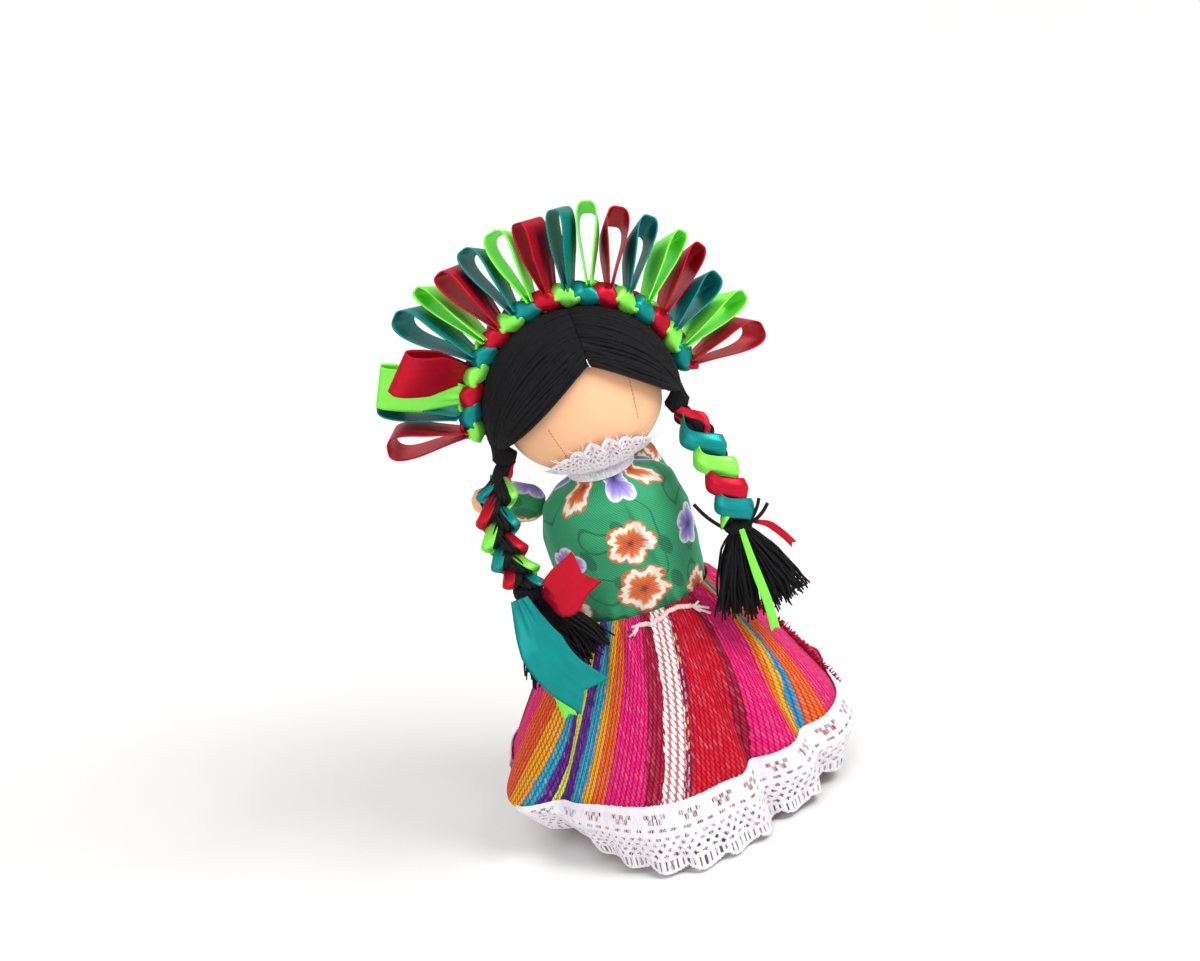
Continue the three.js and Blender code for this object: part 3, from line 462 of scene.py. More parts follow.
class Finish(Nodes):
    """A material of one shader."""

    def __init__(self, name, roughness, sheen=0.0, specular=0.5):
        self.material = bpy.data.materials.new(name)
        self.material.use_nodes = True
        super().__init__(self.material.node_tree)
        self.shader = self.tree.nodes["Principled BSDF"]
        self.set({
            "Roughness": roughness,
            "Sheen Weight": sheen,
            "Sheen Roughness": SHEEN_ROUGHNESS,
            "Specular IOR Level": specular,
        })

    def set(self, sockets):
        for name, value in sockets.items():
            self.feed(self.shader.inputs[name], value)

    def split(self, vector):
        made = self.node("SeparateXYZ", {0: vector})
        return [Shade(self, output) for output in made.outputs]

    def uv(self):
        """The two sides of the piece's own UV map."""
        return self.split(self.value("UVMap", uv_map="UVMap"))[:2]

    def flat(self):
        """Distances over the flat cloth, in millimetres: along the grid's first side and its second."""
        return [side / MM for side in self.uv()]

    def place(self):
        """Position in the doll's frame, in millimetres."""
        spot = self.value("TexCoord", output="Object")
        return self.value("VectorMath", {0: spot, "Scale": 1 / MM}, operation="SCALE")

    def point(self, x, y):
        return self.value("CombineXYZ", {0: x, 1: y})

    def cloud(self, vector, scale=1.0, detail=2.0):
        """Uneven 0 to 1 over a surface."""
        return self.value("TexNoise", {"Vector": vector, "Scale": scale, "Detail": detail})

    def cells(self, vector, scale, scatter):
        """Cells round scattered middles."""
        inputs = {"Vector": vector, "Scale": scale, "Randomness": scatter}
        return self.node("TexVoronoi", inputs, voronoi_dimensions="2D")

    def blend(self, share, low, high):
        """Blend of two colours, given as hex codes or as colours of other nodes."""
        low, high = (colour(tone) if isinstance(tone, str) else tone for tone in (low, high))
        return self.value("Mix", {0: share, 6: low, 7: high}, output=2, data_type="RGBA")

    def ramp(self, value, stops, stepped=False):
        made = self.node("ValToRGB", {0: value})
        ramp = made.color_ramp
        ramp.interpolation = "CONSTANT" if stepped else "LINEAR"
        while len(ramp.elements) < len(stops):
            ramp.elements.new(1.0)
        for element, (place, code) in zip(ramp.elements, stops):
            element.position = place
            element.color = colour(code)
        return Shade(self, made.outputs[0])

    def relief(self, height, depth, strength):
        """Bump from a height of 0 to 1 that stands for a depth in millimetres."""
        bump = self.value("Bump", {"Strength": strength, "Distance": depth * MM, "Height": height})
        self.set({"Normal": bump})

    def paint(self, share, low, high):
        self.set({"Base Color": self.blend(share, low, high)})


# Satin, yarn and plain cloth

SATIN_METAL = 0.5
SATIN_SPECULAR = 0.08
SATIN_COAT = 0.12
SATIN_COAT_ROUGHNESS = 0.3
SATIN_ROUGHNESS = 0.34
SATIN_STREAKS = (0.16, 0.6)  # tones to a millimetre, along a ribbon and across it
SATIN_LIT = 0.35  # below this the satin has its light colour
SATIN_SHADING = 0.55
SATIN_DULLING = 0.12
SATIN_WEFT = 0.3
SATIN_WEFT_SHARE = 0.1  # of the relief
SELVEDGE = (0.45, 0.7)  # distances from a ribbon's edge between which its selvedge ends
SELVEDGE_PICK = 0.55
SELVEDGE_SHADING = 0.28
SELVEDGE_DULLING = 0.2
SELVEDGE_RISE = (0.3, 0.7)
YARN_COLOURS = ("060607", "232226")
YARN_TWIST = 26  # turns of the plies along a strand
# share of the yarn's tone that is painted shade, darker in the grooves between its plies and lighter on
# their crests
YARN_PLY_SHADE_SHARE = 0.4
YARN_CLOUDS = 0.8
WEAVE_CLOUDS = 0.12
WEAVE_SLUBS = (0.15, 2.5)  # slubs to a millimetre, across the cloth and along it
# the holes share is painted shade, darker in the hollows between the threads; clouds and slubs are random
# tone
WEAVE_TONES_AND_SHADE = {"clouds": 0.45, "slubs": 0.25, "holes": 0.3}
WEAVE_HEIGHTS = {"threads": 0.7, "slubs": 0.5}


def satin(name, light, dark):
    """Dyed satin, whose shine takes on some of its colour."""
    finish = Finish(name, roughness=SATIN_ROUGHNESS, specular=SATIN_SPECULAR)
    finish.set({
        "Metallic": SATIN_METAL,
        "Specular Tint": colour(dark),
        "Coat Weight": SATIN_COAT,
        "Coat Roughness": SATIN_COAT_ROUGHNESS,
    })
    along, across = finish.flat()
    selvedge = 1 - across.least(RIBBON_WIDTH - across).between(*SELVEDGE)
    picks = (along / SELVEDGE_PICK).wave()
    weft = (along / SATIN_WEFT).wave()
    uneven = finish.cloud(finish.point(along * SATIN_STREAKS[0], across * SATIN_STREAKS[1]), detail=1.0)
    shading = (uneven - SATIN_LIT).most(0.0) * SATIN_SHADING + selvedge * (1 - picks) * SELVEDGE_SHADING
    finish.paint(shading.least(1.0), light, dark)
    finish.set({"Roughness": uneven * SATIN_DULLING + selvedge * SELVEDGE_DULLING + SATIN_ROUGHNESS})
    low, high = SELVEDGE_RISE
    height = uneven * (1 - SATIN_WEFT_SHARE) + weft * SATIN_WEFT_SHARE
    finish.relief(height + selvedge * (picks * (high - low) + low), depth=0.16, strength=0.6)
    return finish.material


def yarn():
    finish = Finish("yarn", roughness=0.8, specular=0.22)
    around, along = finish.uv()
    plies = (around + along * YARN_TWIST).wave()
    uneven = finish.cloud(finish.place(), YARN_CLOUDS)
    # painted shade: the grooves between the plies darker and their crests lighter; the rest of the tone
    # varies at random
    finish.paint(plies * YARN_PLY_SHADE_SHARE + uneven * (1 - YARN_PLY_SHADE_SHARE), *YARN_COLOURS)
    finish.relief(plies, depth=0.12, strength=0.7)
    return finish.material


def plain_weave(name, light, dark, pitch, roughness):
    finish = Finish(name, roughness=roughness, sheen=0.2, specular=0.3)
    across, along = finish.flat()
    over = ((across / pitch).wave() - 0.5) * ((along / pitch).wave() - 0.5) * 2 + 0.5
    uneven = finish.cloud(finish.place(), WEAVE_CLOUDS)
    slub = finish.cloud(finish.point(across * WEAVE_SLUBS[0], along * WEAVE_SLUBS[1]))
    # painted shade: darker in the hollows between threads, where the relief is low
    tone = uneven * WEAVE_TONES_AND_SHADE["clouds"] + slub * WEAVE_TONES_AND_SHADE["slubs"] + (1 - over) * WEAVE_TONES_AND_SHADE["holes"]
    finish.paint(tone, light, dark)
    height = over * WEAVE_HEIGHTS["threads"] + slub * WEAVE_HEIGHTS["slubs"]
    finish.relief(height, depth=0.08, strength=0.45)
    return finish.material


# Printed twill of the blouse

PRINT_GROUND = ("2fa872", "1c8657")
PRINT_DARK = "0d5a41"
GROUND_CLOUDS = 0.05
STEM_CLOUDS = 0.09
STEM_WANDER = 3
STEM_SPACING = 23
STEM_EDGE = (0.022, 0.034)  # half widths at which a stem begins to fade and is gone, in spacings
STEM_DEPTH = 0.75
LEAF_WIDE = 8
LEAF_LONG = 14
LEAF_LEAN = 30  # run up the cloth in which a leaf leans by one cell
LEAF_SCATTER = 0.8
LEAF_EDGE = (0.16, 0.2)
LEAF_DEPTH = 0.7
FLOWER_SPACING = 14.2
FLOWER_SCATTER = 0.5
FLOWER_RADIUS = (4.6, 5.9)
FLOWER_EDGE = (0.97, 1.03)
# Runs across and along the cloth in which orange turns to violet and back, and where that starts
FLOWER_KINDS = (29, 37, 0.3)
PETALS = 5
PETAL_TURN = 3
PETAL_START = 0.25
PETAL_POWER = 0.45
PETAL_DIP = 0.24  # of a flower's reach, between its petals
STREAKS_ROUND = 26
STREAKS_OUT = 0.25
STREAK_SWAY = 0.42
STREAK_START = (0.1, 0.5)
ORANGE_RINGS = (
    (0.0, "5e100c"), (0.08, "7a1410"), (0.16, "c03c18"), (0.52, "e6662a"), (0.6, "f0a878"), (0.68, "fbf4ea"),
    (0.86, "fbf4ea"), (0.92, "e27a34"), (1.0, "d9601f"),
)
VIOLET_RINGS = (
    (0.0, "2a1c4e"), (0.1, "33215e"), (0.2, "5b3d9c"), (0.42, "8766c8"), (0.66, "a58be0"), (0.82, "c7b6ef"),
    (0.92, "f6f2fc"), (1.0, "e9e2f7"),
)
TWILL_PITCH = 0.62
# painted highlight along the raised lines of the twill
TWILL_HIGHLIGHT = "8fe3b8"
TWILL_HIGHLIGHT_SHARE = 0.2
TWILL_HIGHLIGHT_POWER = 3


def scattered_flowers(finish, across, along):
    """Share of each spot that a flower covers, and the flower's colour there."""
    cells = finish.cells(finish.point(across, along), 1 / FLOWER_SPACING, FLOWER_SCATTER)
    middle_across, middle_along, _ = finish.split(Shade(finish, cells.outputs["Position"]))
    big = finish.value("SeparateColor", {0: Shade(finish, cells.outputs["Color"])}, output=1)
    run_across, run_along, start = FLOWER_KINDS
    kind = (middle_across / run_across + middle_along / run_along + start).wave()
    right = across - middle_across
    up = along - middle_along
    away = finish.math("SQRT", right * right + up * up)
    angle = finish.math("ARCTAN2", up, right) / FULL
    petals = (angle * PETALS + big * PETAL_TURN - PETAL_START).wave()
    small, large = FLOWER_RADIUS
    reach = (petals.power(PETAL_POWER) * PETAL_DIP + (1 - PETAL_DIP)) * (big * (large - small) + small)
    share = away / reach
    streaks = finish.cloud(finish.point(angle * STREAKS_ROUND, away * STREAKS_OUT), detail=0.0)
    rings = share + (streaks - 0.5) * STREAK_SWAY * share.between(*STREAK_START)
    flower = finish.blend(kind > 0.5, finish.ramp(rings, VIOLET_RINGS), finish.ramp(rings, ORANGE_RINGS))
    return 1 - share.between(*FLOWER_EDGE), flower


def printed_twill():
    """Green twill with scattered flowers, dark stems and leaves, and a painted highlight along the raised
    lines of its twill.
    """
    finish = Finish("print", roughness=0.72, sheen=0.05, specular=0.25)
    across, along = finish.flat()
    spot = finish.point(across, along)
    ground = finish.blend(finish.cloud(spot, GROUND_CLOUDS), *PRINT_GROUND)
    wander = finish.cloud(spot, STEM_CLOUDS, detail=0.0) * STEM_WANDER
    stem = 1 - ((wander + across / STEM_SPACING).part() - 0.5).size().between(*STEM_EDGE)
    leaf_spot = finish.point(across / LEAF_WIDE + along / LEAF_LEAN, along / LEAF_LONG)
    from_leaf = finish.cells(leaf_spot, 1.0, LEAF_SCATTER).outputs["Distance"]
    leaf = 1 - Shade(finish, from_leaf).between(*LEAF_EDGE)
    green = finish.blend((stem * STEM_DEPTH).most(leaf * LEAF_DEPTH), ground, PRINT_DARK)
    covered, flower = scattered_flowers(finish, across, along)
    printed = finish.blend(covered, green, flower)
    twill = (across / TWILL_PITCH + along / TWILL_PITCH).wave()
    # painted highlight: lighter along the raised lines of the twill, where the relief is high
    finish.paint(twill.power(TWILL_HIGHLIGHT_POWER) * TWILL_HIGHLIGHT_SHARE, printed, TWILL_HIGHLIGHT)
    finish.relief(twill, depth=0.1, strength=0.55)
    return finish.material


# Striped twill of the skirt

STRIPES = [
    (-180, "d0142e"), (-162, "ee1e78"), (-139, "f4702a"), (-134, "1fa3c4"), (-129, "5a2590"),
    (-122, "a81438"), (-116, "ee1e78"), (-90, "ee5a24"), (-79, "f4a31e"), (-72.5, "1fa3c4"),
    (-67.5, "5a2590"), (-64, "dfe74e"), (-61, "5a2590"), (-55.5, "1fa3c4"), (-50.5, "f4a81e"),
    (-45, "f0641f"), (-40.5, "f01f7a"), (-24, "a81438"), (-19, "f8ece9"), (-11.5, "a81438"),
    (-9, "d4142c"), (13, "a31334"), (17.5, "f21f78"), (33.5, "f0701f"), (36.5, "f4b422"), (39, "1f93c4"),
    (42, "f0641f"), (50, "f0307a"), (79, "9c1234"), (87, "ee1e78"), (112, "f0701f"), (116, "f4a81e"),
    (121, "1fa3c4"), (126, "5a2590"), (131, "dfe74e"), (134, "5a2590"), (139, "1fa3c4"), (144, "f4a81e"),
    (149, "f0641f"), (153, "f01f7a"), (170, "9c1234"), (176, "d0142e"),
]  # turn at which each stripe starts, and its colour
RAMP_STOPS = 30
STRIPE_RAGGED = 0.006
STRIPE_RAGS = (3.1, 1.3)
# painted highlight on some ovals of yarn
STRIPE_HIGHLIGHT = "ffb3cc"
# painted shade in the gaps between the ovals of yarn
STRIPE_GAP_SHADE = "3c0418"
STRIPE_GAP_SHADE_SHARE = 0.62
# how much of the gap colour shows where the ovals are lowest: painted shade, and red yarn in the braided
# stripe
GAP_DEPTH = 0.85
YARN_WIDE = 1.3  # one oval of yarn in the twill
YARN_LONG = 1.05
YARN_SLANT = 1.5
YARN_SQUASH = 0.85
YARN_EDGE = 0.5
# which ovals are raised a little and carry the painted highlight
LIT_OVAL_STEPS = (0.73, 0.37)
LIT_OVAL_CLOUDS = 3.0
LIT_OVAL_START = 0.45
LIT_OVAL_HIGHLIGHT = 0.6
LIT_OVAL_HEIGHT = 0.2
BRAIDED_STRIPE = (-19, -11.5)  # turns between which the white stripe is braided
BRAIDED_COLUMNS = 3
BRAIDED_LONG = 1.35
BRAIDED_SQUASH = 0.8
BRAIDED_EDGE = 0.6
BRAIDED_HEIGHT = 1.3
BRAIDED_GAP = "b8283f"
STRIPE_WIDENING = 0.45  # how much of the braided stripe's narrowing towards the waist is taken back
STRIPE_WIDENING_RUN = (0.02, 0.07)
METAL_TURN = -10.2
METAL_COLOURS = ("9fb4c8", "d9b64c")
METAL_HALF = (0.14, 0.22)
METAL_DASH = 2.3
METAL_HIDDEN = 0.45
METAL_CHANGE = 15
METAL_SHINE = 0.7


def turn_share(turn):
    """Share of the way across the skirt's cloth at a turn in degrees."""
    return (turn + 180) / 360


def yarn_ovals(column, row, squash, edge):
    """Height of the ovals of yarn that a twill shows in its columns and rows."""
    beside = (column.part() - 0.5) * 2
    above = (row.part() - 0.5) * 2
    return (1 - (beside * beside + above * above * squash)).between(0.0, edge)


def striped_twill():
    """Coarse hand-woven twill: slanted ovals of yarn over bright stripes, with a painted highlight on some
    ovals and painted shade in the gaps between them.
    """
    finish = Finish("weave", roughness=0.85, specular=0.12)
    across, along = finish.flat()
    plain_share = across / SKIRT_FLAT[0]
    start, end = (turn_share(turn) for turn in BRAIDED_STRIPE)
    aside = plain_share - (start + end) / 2
    widened = (1 - aside.size().between(*STRIPE_WIDENING_RUN)) * (along / SKIRT_FLAT[1]) * STRIPE_WIDENING
    share = plain_share - aside * widened

    column = across / YARN_WIDE
    row = along / YARN_LONG + column * YARN_SLANT
    ovals = yarn_ovals(column, row, YARN_SQUASH, YARN_EDGE)
    step = column.whole() * LIT_OVAL_STEPS[0] + row.whole() * LIT_OVAL_STEPS[1]
    lit_oval = finish.cloud(finish.point(step, column.whole()), LIT_OVAL_CLOUDS, detail=0.0)
    rags = finish.point(column.whole() * STRIPE_RAGS[0], row.whole() * STRIPE_RAGS[1])
    stripe = share + (finish.cloud(rags, detail=0.0) - 0.5) * STRIPE_RAGGED
    places = [(turn_share(turn), code) for turn, code in STRIPES]
    low = finish.ramp(stripe, places[:RAMP_STOPS], stepped=True)
    high = finish.ramp(stripe, [(0.0, places[RAMP_STOPS - 1][1])] + places[RAMP_STOPS:], stepped=True)
    dyed = finish.blend(stripe > places[RAMP_STOPS][0], low, high)

    in_braid = (share > start) * (share < end)
    braid_column = (share - start) / (end - start) * BRAIDED_COLUMNS
    braid_row = along / BRAIDED_LONG + braid_column * YARN_SLANT
    braid_ovals = yarn_ovals(braid_column, braid_row, BRAIDED_SQUASH, BRAIDED_EDGE)
    height = ovals + (braid_ovals * BRAIDED_HEIGHT - ovals) * in_braid

    # painted highlight: a pale pink on some ovals, picked at random
    painted_highlight = (lit_oval - LIT_OVAL_START).most(0.0) * LIT_OVAL_HIGHLIGHT * (1 - in_braid)
    lit = finish.blend(painted_highlight, dyed, STRIPE_HIGHLIGHT)
    # painted shade: the dyed colour darkened in the gaps between ovals; in the braided stripe its red yarn
    # shows there
    gap_shade_and_braid_red = finish.blend(in_braid, finish.blend(STRIPE_GAP_SHADE_SHARE, dyed, STRIPE_GAP_SHADE), BRAIDED_GAP)
    woven = finish.blend((1 - height.least(1.0)) * GAP_DEPTH, lit, gap_shade_and_braid_red)

    from_metal = (share - turn_share(METAL_TURN)).size() * SKIRT_FLAT[0]
    dash = ((along / METAL_DASH).part() > METAL_HIDDEN) * (1 - from_metal.between(*METAL_HALF))
    glint = finish.blend((along / METAL_CHANGE).wave() > 0.5, *METAL_COLOURS)
    finish.paint(dash, woven, glint)
    finish.set({"Metallic": dash * METAL_SHINE})
    finish.relief(height * (1 - LIT_OVAL_HEIGHT) + lit_oval * LIT_OVAL_HEIGHT, depth=0.45, strength=0.9)
    return finish.material


# Threads

LACE_COLOURS = ("fbf9fa", "e6dde8")
LACE_CLOUDS = 0.35
LACE_FIBRES = 5.0
CORD_COLOURS = ("fbeeee", "d9a9b0")
CORD_CLOUDS = 1.6
FRAY_COLOURS = ("c2143a", "7c0f2a")
FRAY_CLOUDS = 0.6
SEAM_COLOURS = ("cf8a5c", "b06f45")
SEAM_CLOUDS = 2.0


def lace_thread():
    finish = Finish("lace", roughness=0.85, sheen=0.3, specular=0.3)
    finish.paint(finish.cloud(finish.place(), LACE_CLOUDS), *LACE_COLOURS)
    finish.relief(finish.cloud(finish.place(), LACE_FIBRES), depth=0.1, strength=0.5)
    return finish.material


def white_cord():
    finish = Finish("cord", roughness=0.85, sheen=0.3, specular=0.3)
    uneven = finish.cloud(finish.place(), CORD_CLOUDS)
    finish.paint(uneven, *CORD_COLOURS)
    finish.relief(uneven, depth=0.12, strength=0.6)
    return finish.material


def frayed_thread():
    finish = Finish("fray", roughness=0.85, specular=0.15)
    finish.paint(finish.cloud(finish.place(), FRAY_CLOUDS), *FRAY_COLOURS)
    return finish.material


def seam_thread():
    finish = Finish("skin_thread", roughness=0.8, sheen=0.1, specular=0.3)
    finish.paint(finish.cloud(finish.place(), SEAM_CLOUDS), *SEAM_COLOURS)
    return finish.material


FINISHES = {
    "fray": frayed_thread(),
    "skin": plain_weave("skin", "fac79e", "f0b286", pitch=0.42, roughness=0.75),
    "muslin": plain_weave("muslin", "ece0cb", "d8c7aa", pitch=0.5, roughness=0.85),
    "print": printed_twill(),
    "lace": lace_thread(),
    "weave": striped_twill(),
    "cord": white_cord(),
    "yarn": yarn(),
    "satin_red": satin("satin_red", "c2182f", "8e0d22"),
    "satin_teal": satin("satin_teal", "188f8c", "0c5f5e"),
    "satin_lime": satin("satin_lime", "8cf25a", "62d63a"),
    "skin_thread": seam_thread(),
}


# Stuffed body

TORSO_LEVELS = ((-0.167, 0.72), (-0.083, 0.93), (0, 0.93), (0.3, 1), (0.62, 1), (0.84, 0.9), (0.95, 0.68))
TORSO_GRID = (64, 48)
TORSO_FLAT = (93, 42)
TORSO_ENDS = (0.03, 0.02)  # shares of its height in which the torso closes at its foot and its top
TORSO_SEAMS = {"depth": 0.02, "width": 4, "places": (90, -90)}
TORSO_STUFFING = {"amount": 0.012, "radius": 15, "size": 9, "seed": 5}
HEAD_GRID = (96, 64)
HEAD_FLAT = (104, 51)
HEAD_STUFFING = {"amount": 0.004, "radius": 16, "size": 14, "seed": 3}
FACE_SEAMS = (((-9.4, 96.2), (-7.0, 88.0)), ((10.2, 101.5), (9.6, 92.0)))  # x and z of each seam's ends
FACE_SEAM_END = 0.95
STITCH_STEP = 0.09  # from stitch to stitch, as a share of the seam
STITCH_RUN = 0.062
STITCH_RISE = 0.1
STITCH_POINTS = 5
STITCH_RADIUS = 0.085

waist_share = TORSO_LEVELS[2][1]
shoulder_rise, shoulder_share = TORSO_LEVELS[5]
neck_foot = WAIST_Z + TORSO_HEIGHT
head_z = neck_foot + NECK_SHOWING + CHIN_DROP
blouse_outer = GAP + CLOTH
neckline = neck_foot + blouse_outer


def seamed(turn, depth, width, places):
    """Share to which seams at some turns pull a stuffed form in."""
    return 1 - depth * sum(hump(turn, place, width) for place in places)


def stuffed(turn, along, amount, radius, size, seed):
    """Share to which lumps of stuffing swell a form of about this radius."""
    return 1 + amount * lumps(turn * radius, along, size, seed)


def stuff(node, grid, surface, flat, body, slot):
    """Stuffed form in place of one solid."""
    piece = lay_cloth(f"{node}_stuffed", grid, surface, flat)
    dress(piece, body, slot, node)
    return piece


def torso_half(z, size):
    """Half of a torso's width or depth at a height, where size is its whole."""
    heights = [WAIST_Z + h * TORSO_HEIGHT for h, _ in TORSO_LEVELS] + [neck_foot]
    halves = [s * size / 2 for _, s in TORSO_LEVELS] + [NECK_RADIUS]
    return np.interp(z, heights, halves)


def torso_surface(u, v):
    turn = FULL * u
    z = mix(WAIST_Z - HIP_HEIGHT, neck_foot + NECK_LENGTH, v)
    foot_run, top_run = TORSO_ENDS
    closing = ease(v / foot_run) * ease((1 - v) / top_run)
    swell = seamed(turn, **TORSO_SEAMS) * stuffed(turn, z, **TORSO_STUFFING) * closing
    return oval(torso_half(z, TORSO_WIDTH) * swell, torso_half(z, TORSO_DEPTH) * swell, 0, z, turn)


def head_reach(up):
    """Reach of the head from its middle, up to its top or down to its chin."""
    return np.where(up < 0, CHIN_DROP, CROWN_RISE)


def head_surface(u, v):
    turn = FULL * u
    rise = np.pi * (v - 0.5)
    up = np.sin(rise)
    z = head_z + head_reach(up) * up
    swell = np.cos(rise) * stuffed(turn, z, **HEAD_STUFFING)
    spots = oval(HEAD_WIDTH / 2 * swell, HEAD_DEPTH / 2 * swell, 0, z, turn)
    in_socket = (np.hypot(spots[:, 0], spots[:, 1]) < NECK_RADIUS + GAP) & (up < 0)
    spots[in_socket, 2] = np.maximum(spots[in_socket, 2], neck_foot + NECK_LENGTH + GAP)
    return spots


def on_face(x, z, off):
    """Point on the front of the head."""
    up = z - head_z
    share = np.clip(1 - (x / (HEAD_WIDTH / 2)) ** 2 - (up / head_reach(up)) ** 2, 0, 1)
    return vec(x, -HEAD_DEPTH / 2 * np.sqrt(share) - off, z)


def make_torso():
    stuff("torso", TORSO_GRID, torso_surface, TORSO_FLAT, "body", "muslin")


def make_head():
    stuff("head", HEAD_GRID, head_surface, HEAD_FLAT, "body", "skin")
    raised = STITCH_RISE * np.sin(np.pi * shares(STITCH_POINTS))
    stitches = []
    for (x0, z0), (x1, z1) in FACE_SEAMS:
        for start in np.arange(0, FACE_SEAM_END, STITCH_STEP):
            run = np.linspace(start, start + STITCH_RUN, STITCH_POINTS)
            stitches.append(on_face(mix(x0, x1, run), mix(z0, z1, run), raised))
    thread = strands("face_seam_stitches", stitches, STITCH_RADIUS)
    dress(thread, "body", "skin", finish="skin_thread")


# Arms, sleeves and legs

ARM_LEVELS = ((0.0, 0.8), (0.55, 0.86), (0.77, 0.92), (0.88, 0.8), (0.95, 0.58), (1, 0.0))
ARM_GRID = (40, 40)
ARM_FLAT = (20, 18)
ARM_TIP = 0.12  # share of the arm that rounds off its hand end
ARM_SEAM = {"depth": 0.05, "width": 9, "places": (180,)}
ARM_STUFFING = {"amount": 0.02, "radius": 3, "size": 4, "seed": 8}
SLEEVE_GRID = (96, 28)
SLEEVE_CAP = 0.4  # share of the sleeve's cloth that rounds the shoulder
SLEEVE_ROUND = 0.36  # angle off the arm's own line at which the cap starts
SLEEVE_GATHERS = 9
SLEEVE_GATHER_DEPTH = 0.22
SLEEVE_PUFF = 0.25
SLEEVE_LUMPS = {"size": 5, "seed": 4}
SLEEVE_LUMP_RADIUS = 4
CLOTH_INSET = 0.25  # from the outer side of a cloth's solid to the middle of the cloth laid there
CLOTH_SHELL = 0.4
LEG_LEVELS = (
    (-0.137, 0.02, 0.02, 0), (-0.125, 0.4, 0.4, 0), (-0.09, 0.75, 0.75, 0), (-0.04, 0.95, 0.95, 0),
    (0.04, 1, 1, 0), (0.45, 0.86, 0.86, 0), (0.8, 0.72, 0.74, 0), (0.9, 0.78, 1.05, 0.7),
    (0.97, 0.82, 1.25, 1), (0.995, 0.74, 1.15, 1), (1, 0.02, 0.02, 1),
)  # drop, half width, half depth and forward reach of the foot, each as a share
LEG_GRID = (36, 50)
LEG_FLAT = (29, 45)
LEG_SEAM = {"depth": 0.03, "width": 6, "places": (180,)}

shoulder_z = WAIST_Z + shoulder_rise * TORSO_HEIGHT
sleeve_radius = ARM_RADIUS + GAP + CLOTH
hip_z = WAIST_Z - HIP_HEIGHT - GAP - LEG_RADIUS
ankle_half = LEG_LEVELS[6][2] * LEG_RADIUS


def on_side(side, spot):
    """A spot or direction that is given for the right side, on either side."""
    return np.array(spot) * np.array([SIDES[side], 1, 1])


def arm_frame(side):
    """An arm's pivot, its direction, and two directions square to that."""
    clear = blouse_outer + GAP + sleeve_radius
    half_width, half_depth = (shoulder_share * size / 2 + clear for size in (TORSO_WIDTH, TORSO_DEPTH))
    pivot = on_side(side, oval(half_width, half_depth, 0, shoulder_z, math.radians(ARM_TURN[side])))
    sweep, droop = math.radians(ARM_SWEEP[side]), math.radians(ARM_DROOP[side])
    out = unit(on_side(side, [math.cos(sweep), math.sin(sweep), -math.tan(droop)]))
    over = unit(np.cross(out, UPRIGHT))
    return pivot, out, over, np.cross(over, out)


def turned(side, radius, along, turn):
    """Points round an arm's own length."""
    pivot, out, over, up = arm_frame(side)
    ring = steps(np.cos(turn), over) + steps(np.sin(turn), up)
    return pivot + steps(along, out) + radius[:, None] * ring


def make_arm(side):
    def arm_surface(u, v):
        turn = FULL * u
        along = mix(-ARM_RADIUS, ARM_LENGTH, v)
        share = np.clip(along / ARM_LENGTH, 0, 1)
        behind = np.sqrt(np.clip(1 - (np.minimum(along, 0) / ARM_RADIUS) ** 2, 0, 1))
        tip = np.sqrt(np.clip((1 - share) / ARM_TIP, 0, 1))
        shape = np.minimum(through(share, *zip(*ARM_LEVELS)), tip)
        radius = ARM_RADIUS * np.where(along < 0, ARM_LEVELS[0][1] * behind, shape)
        swell = seamed(turn, **ARM_SEAM) * stuffed(turn, along, **ARM_STUFFING)
        return turned(side, radius * swell, along, turn)

    def sleeve_surface(u, v):
        turn = FULL * u
        middle = sleeve_radius - CLOTH_INSET
        phase = mix(SLEEVE_ROUND, np.pi / 2, np.clip(v / SLEEVE_CAP, 0, 1))
        run = np.clip((v - SLEEVE_CAP) / (1 - SLEEVE_CAP), 0, 1)
        radius = middle * np.sin(phase) + SLEEVE_FLARE * run
        along = np.where(v < SLEEVE_CAP, -middle * np.cos(phase), SLEEVE_LENGTH * run)
        lump = SLEEVE_PUFF * lumps(turn * SLEEVE_LUMP_RADIUS, along, **SLEEVE_LUMPS)
        puff = SLEEVE_GATHER_DEPTH * gathers(turn, SLEEVE_GATHERS) + lump
        return turned(side, radius + puff * run, along, turn)

    body = f"arm_{side}"
    arm = stuff(body, ARM_GRID, arm_surface, ARM_FLAT, body, "skin")
    sleeve = lay_cloth(f"sleeve_{side}_cloth", SLEEVE_GRID, sleeve_surface, SLEEVE_FLAT)
    thicken(sleeve, CLOTH_SHELL)
    dress(sleeve, body, "print", f"sleeve_{side}")
    declare_cloth(SLEEVE_FLAT)


def make_leg(side):
    levels = np.array(LEG_LEVELS)
    length = hip_z - FOOT_CLEARANCE
    toe = FOOT_LENGTH / 2 - ankle_half

    def leg_surface(u, v):
        turn = FULL * u
        level = v * (len(levels) - 1)
        marks = np.arange(len(levels))
        drop, across, deep, forward = (np.interp(level, marks, column) for column in levels.T)
        radius = LEG_RADIUS * seamed(turn, **LEG_SEAM)
        spots = oval(across * radius, deep * radius, -forward * toe, hip_z - drop * length, turn)
        return spots + on_side(side, LEVEL) * LEG_SPACING / 2

    stuff(f"leg_{side}", LEG_GRID, leg_surface, LEG_FLAT, f"leg_{side}", "skin")


# Blouse

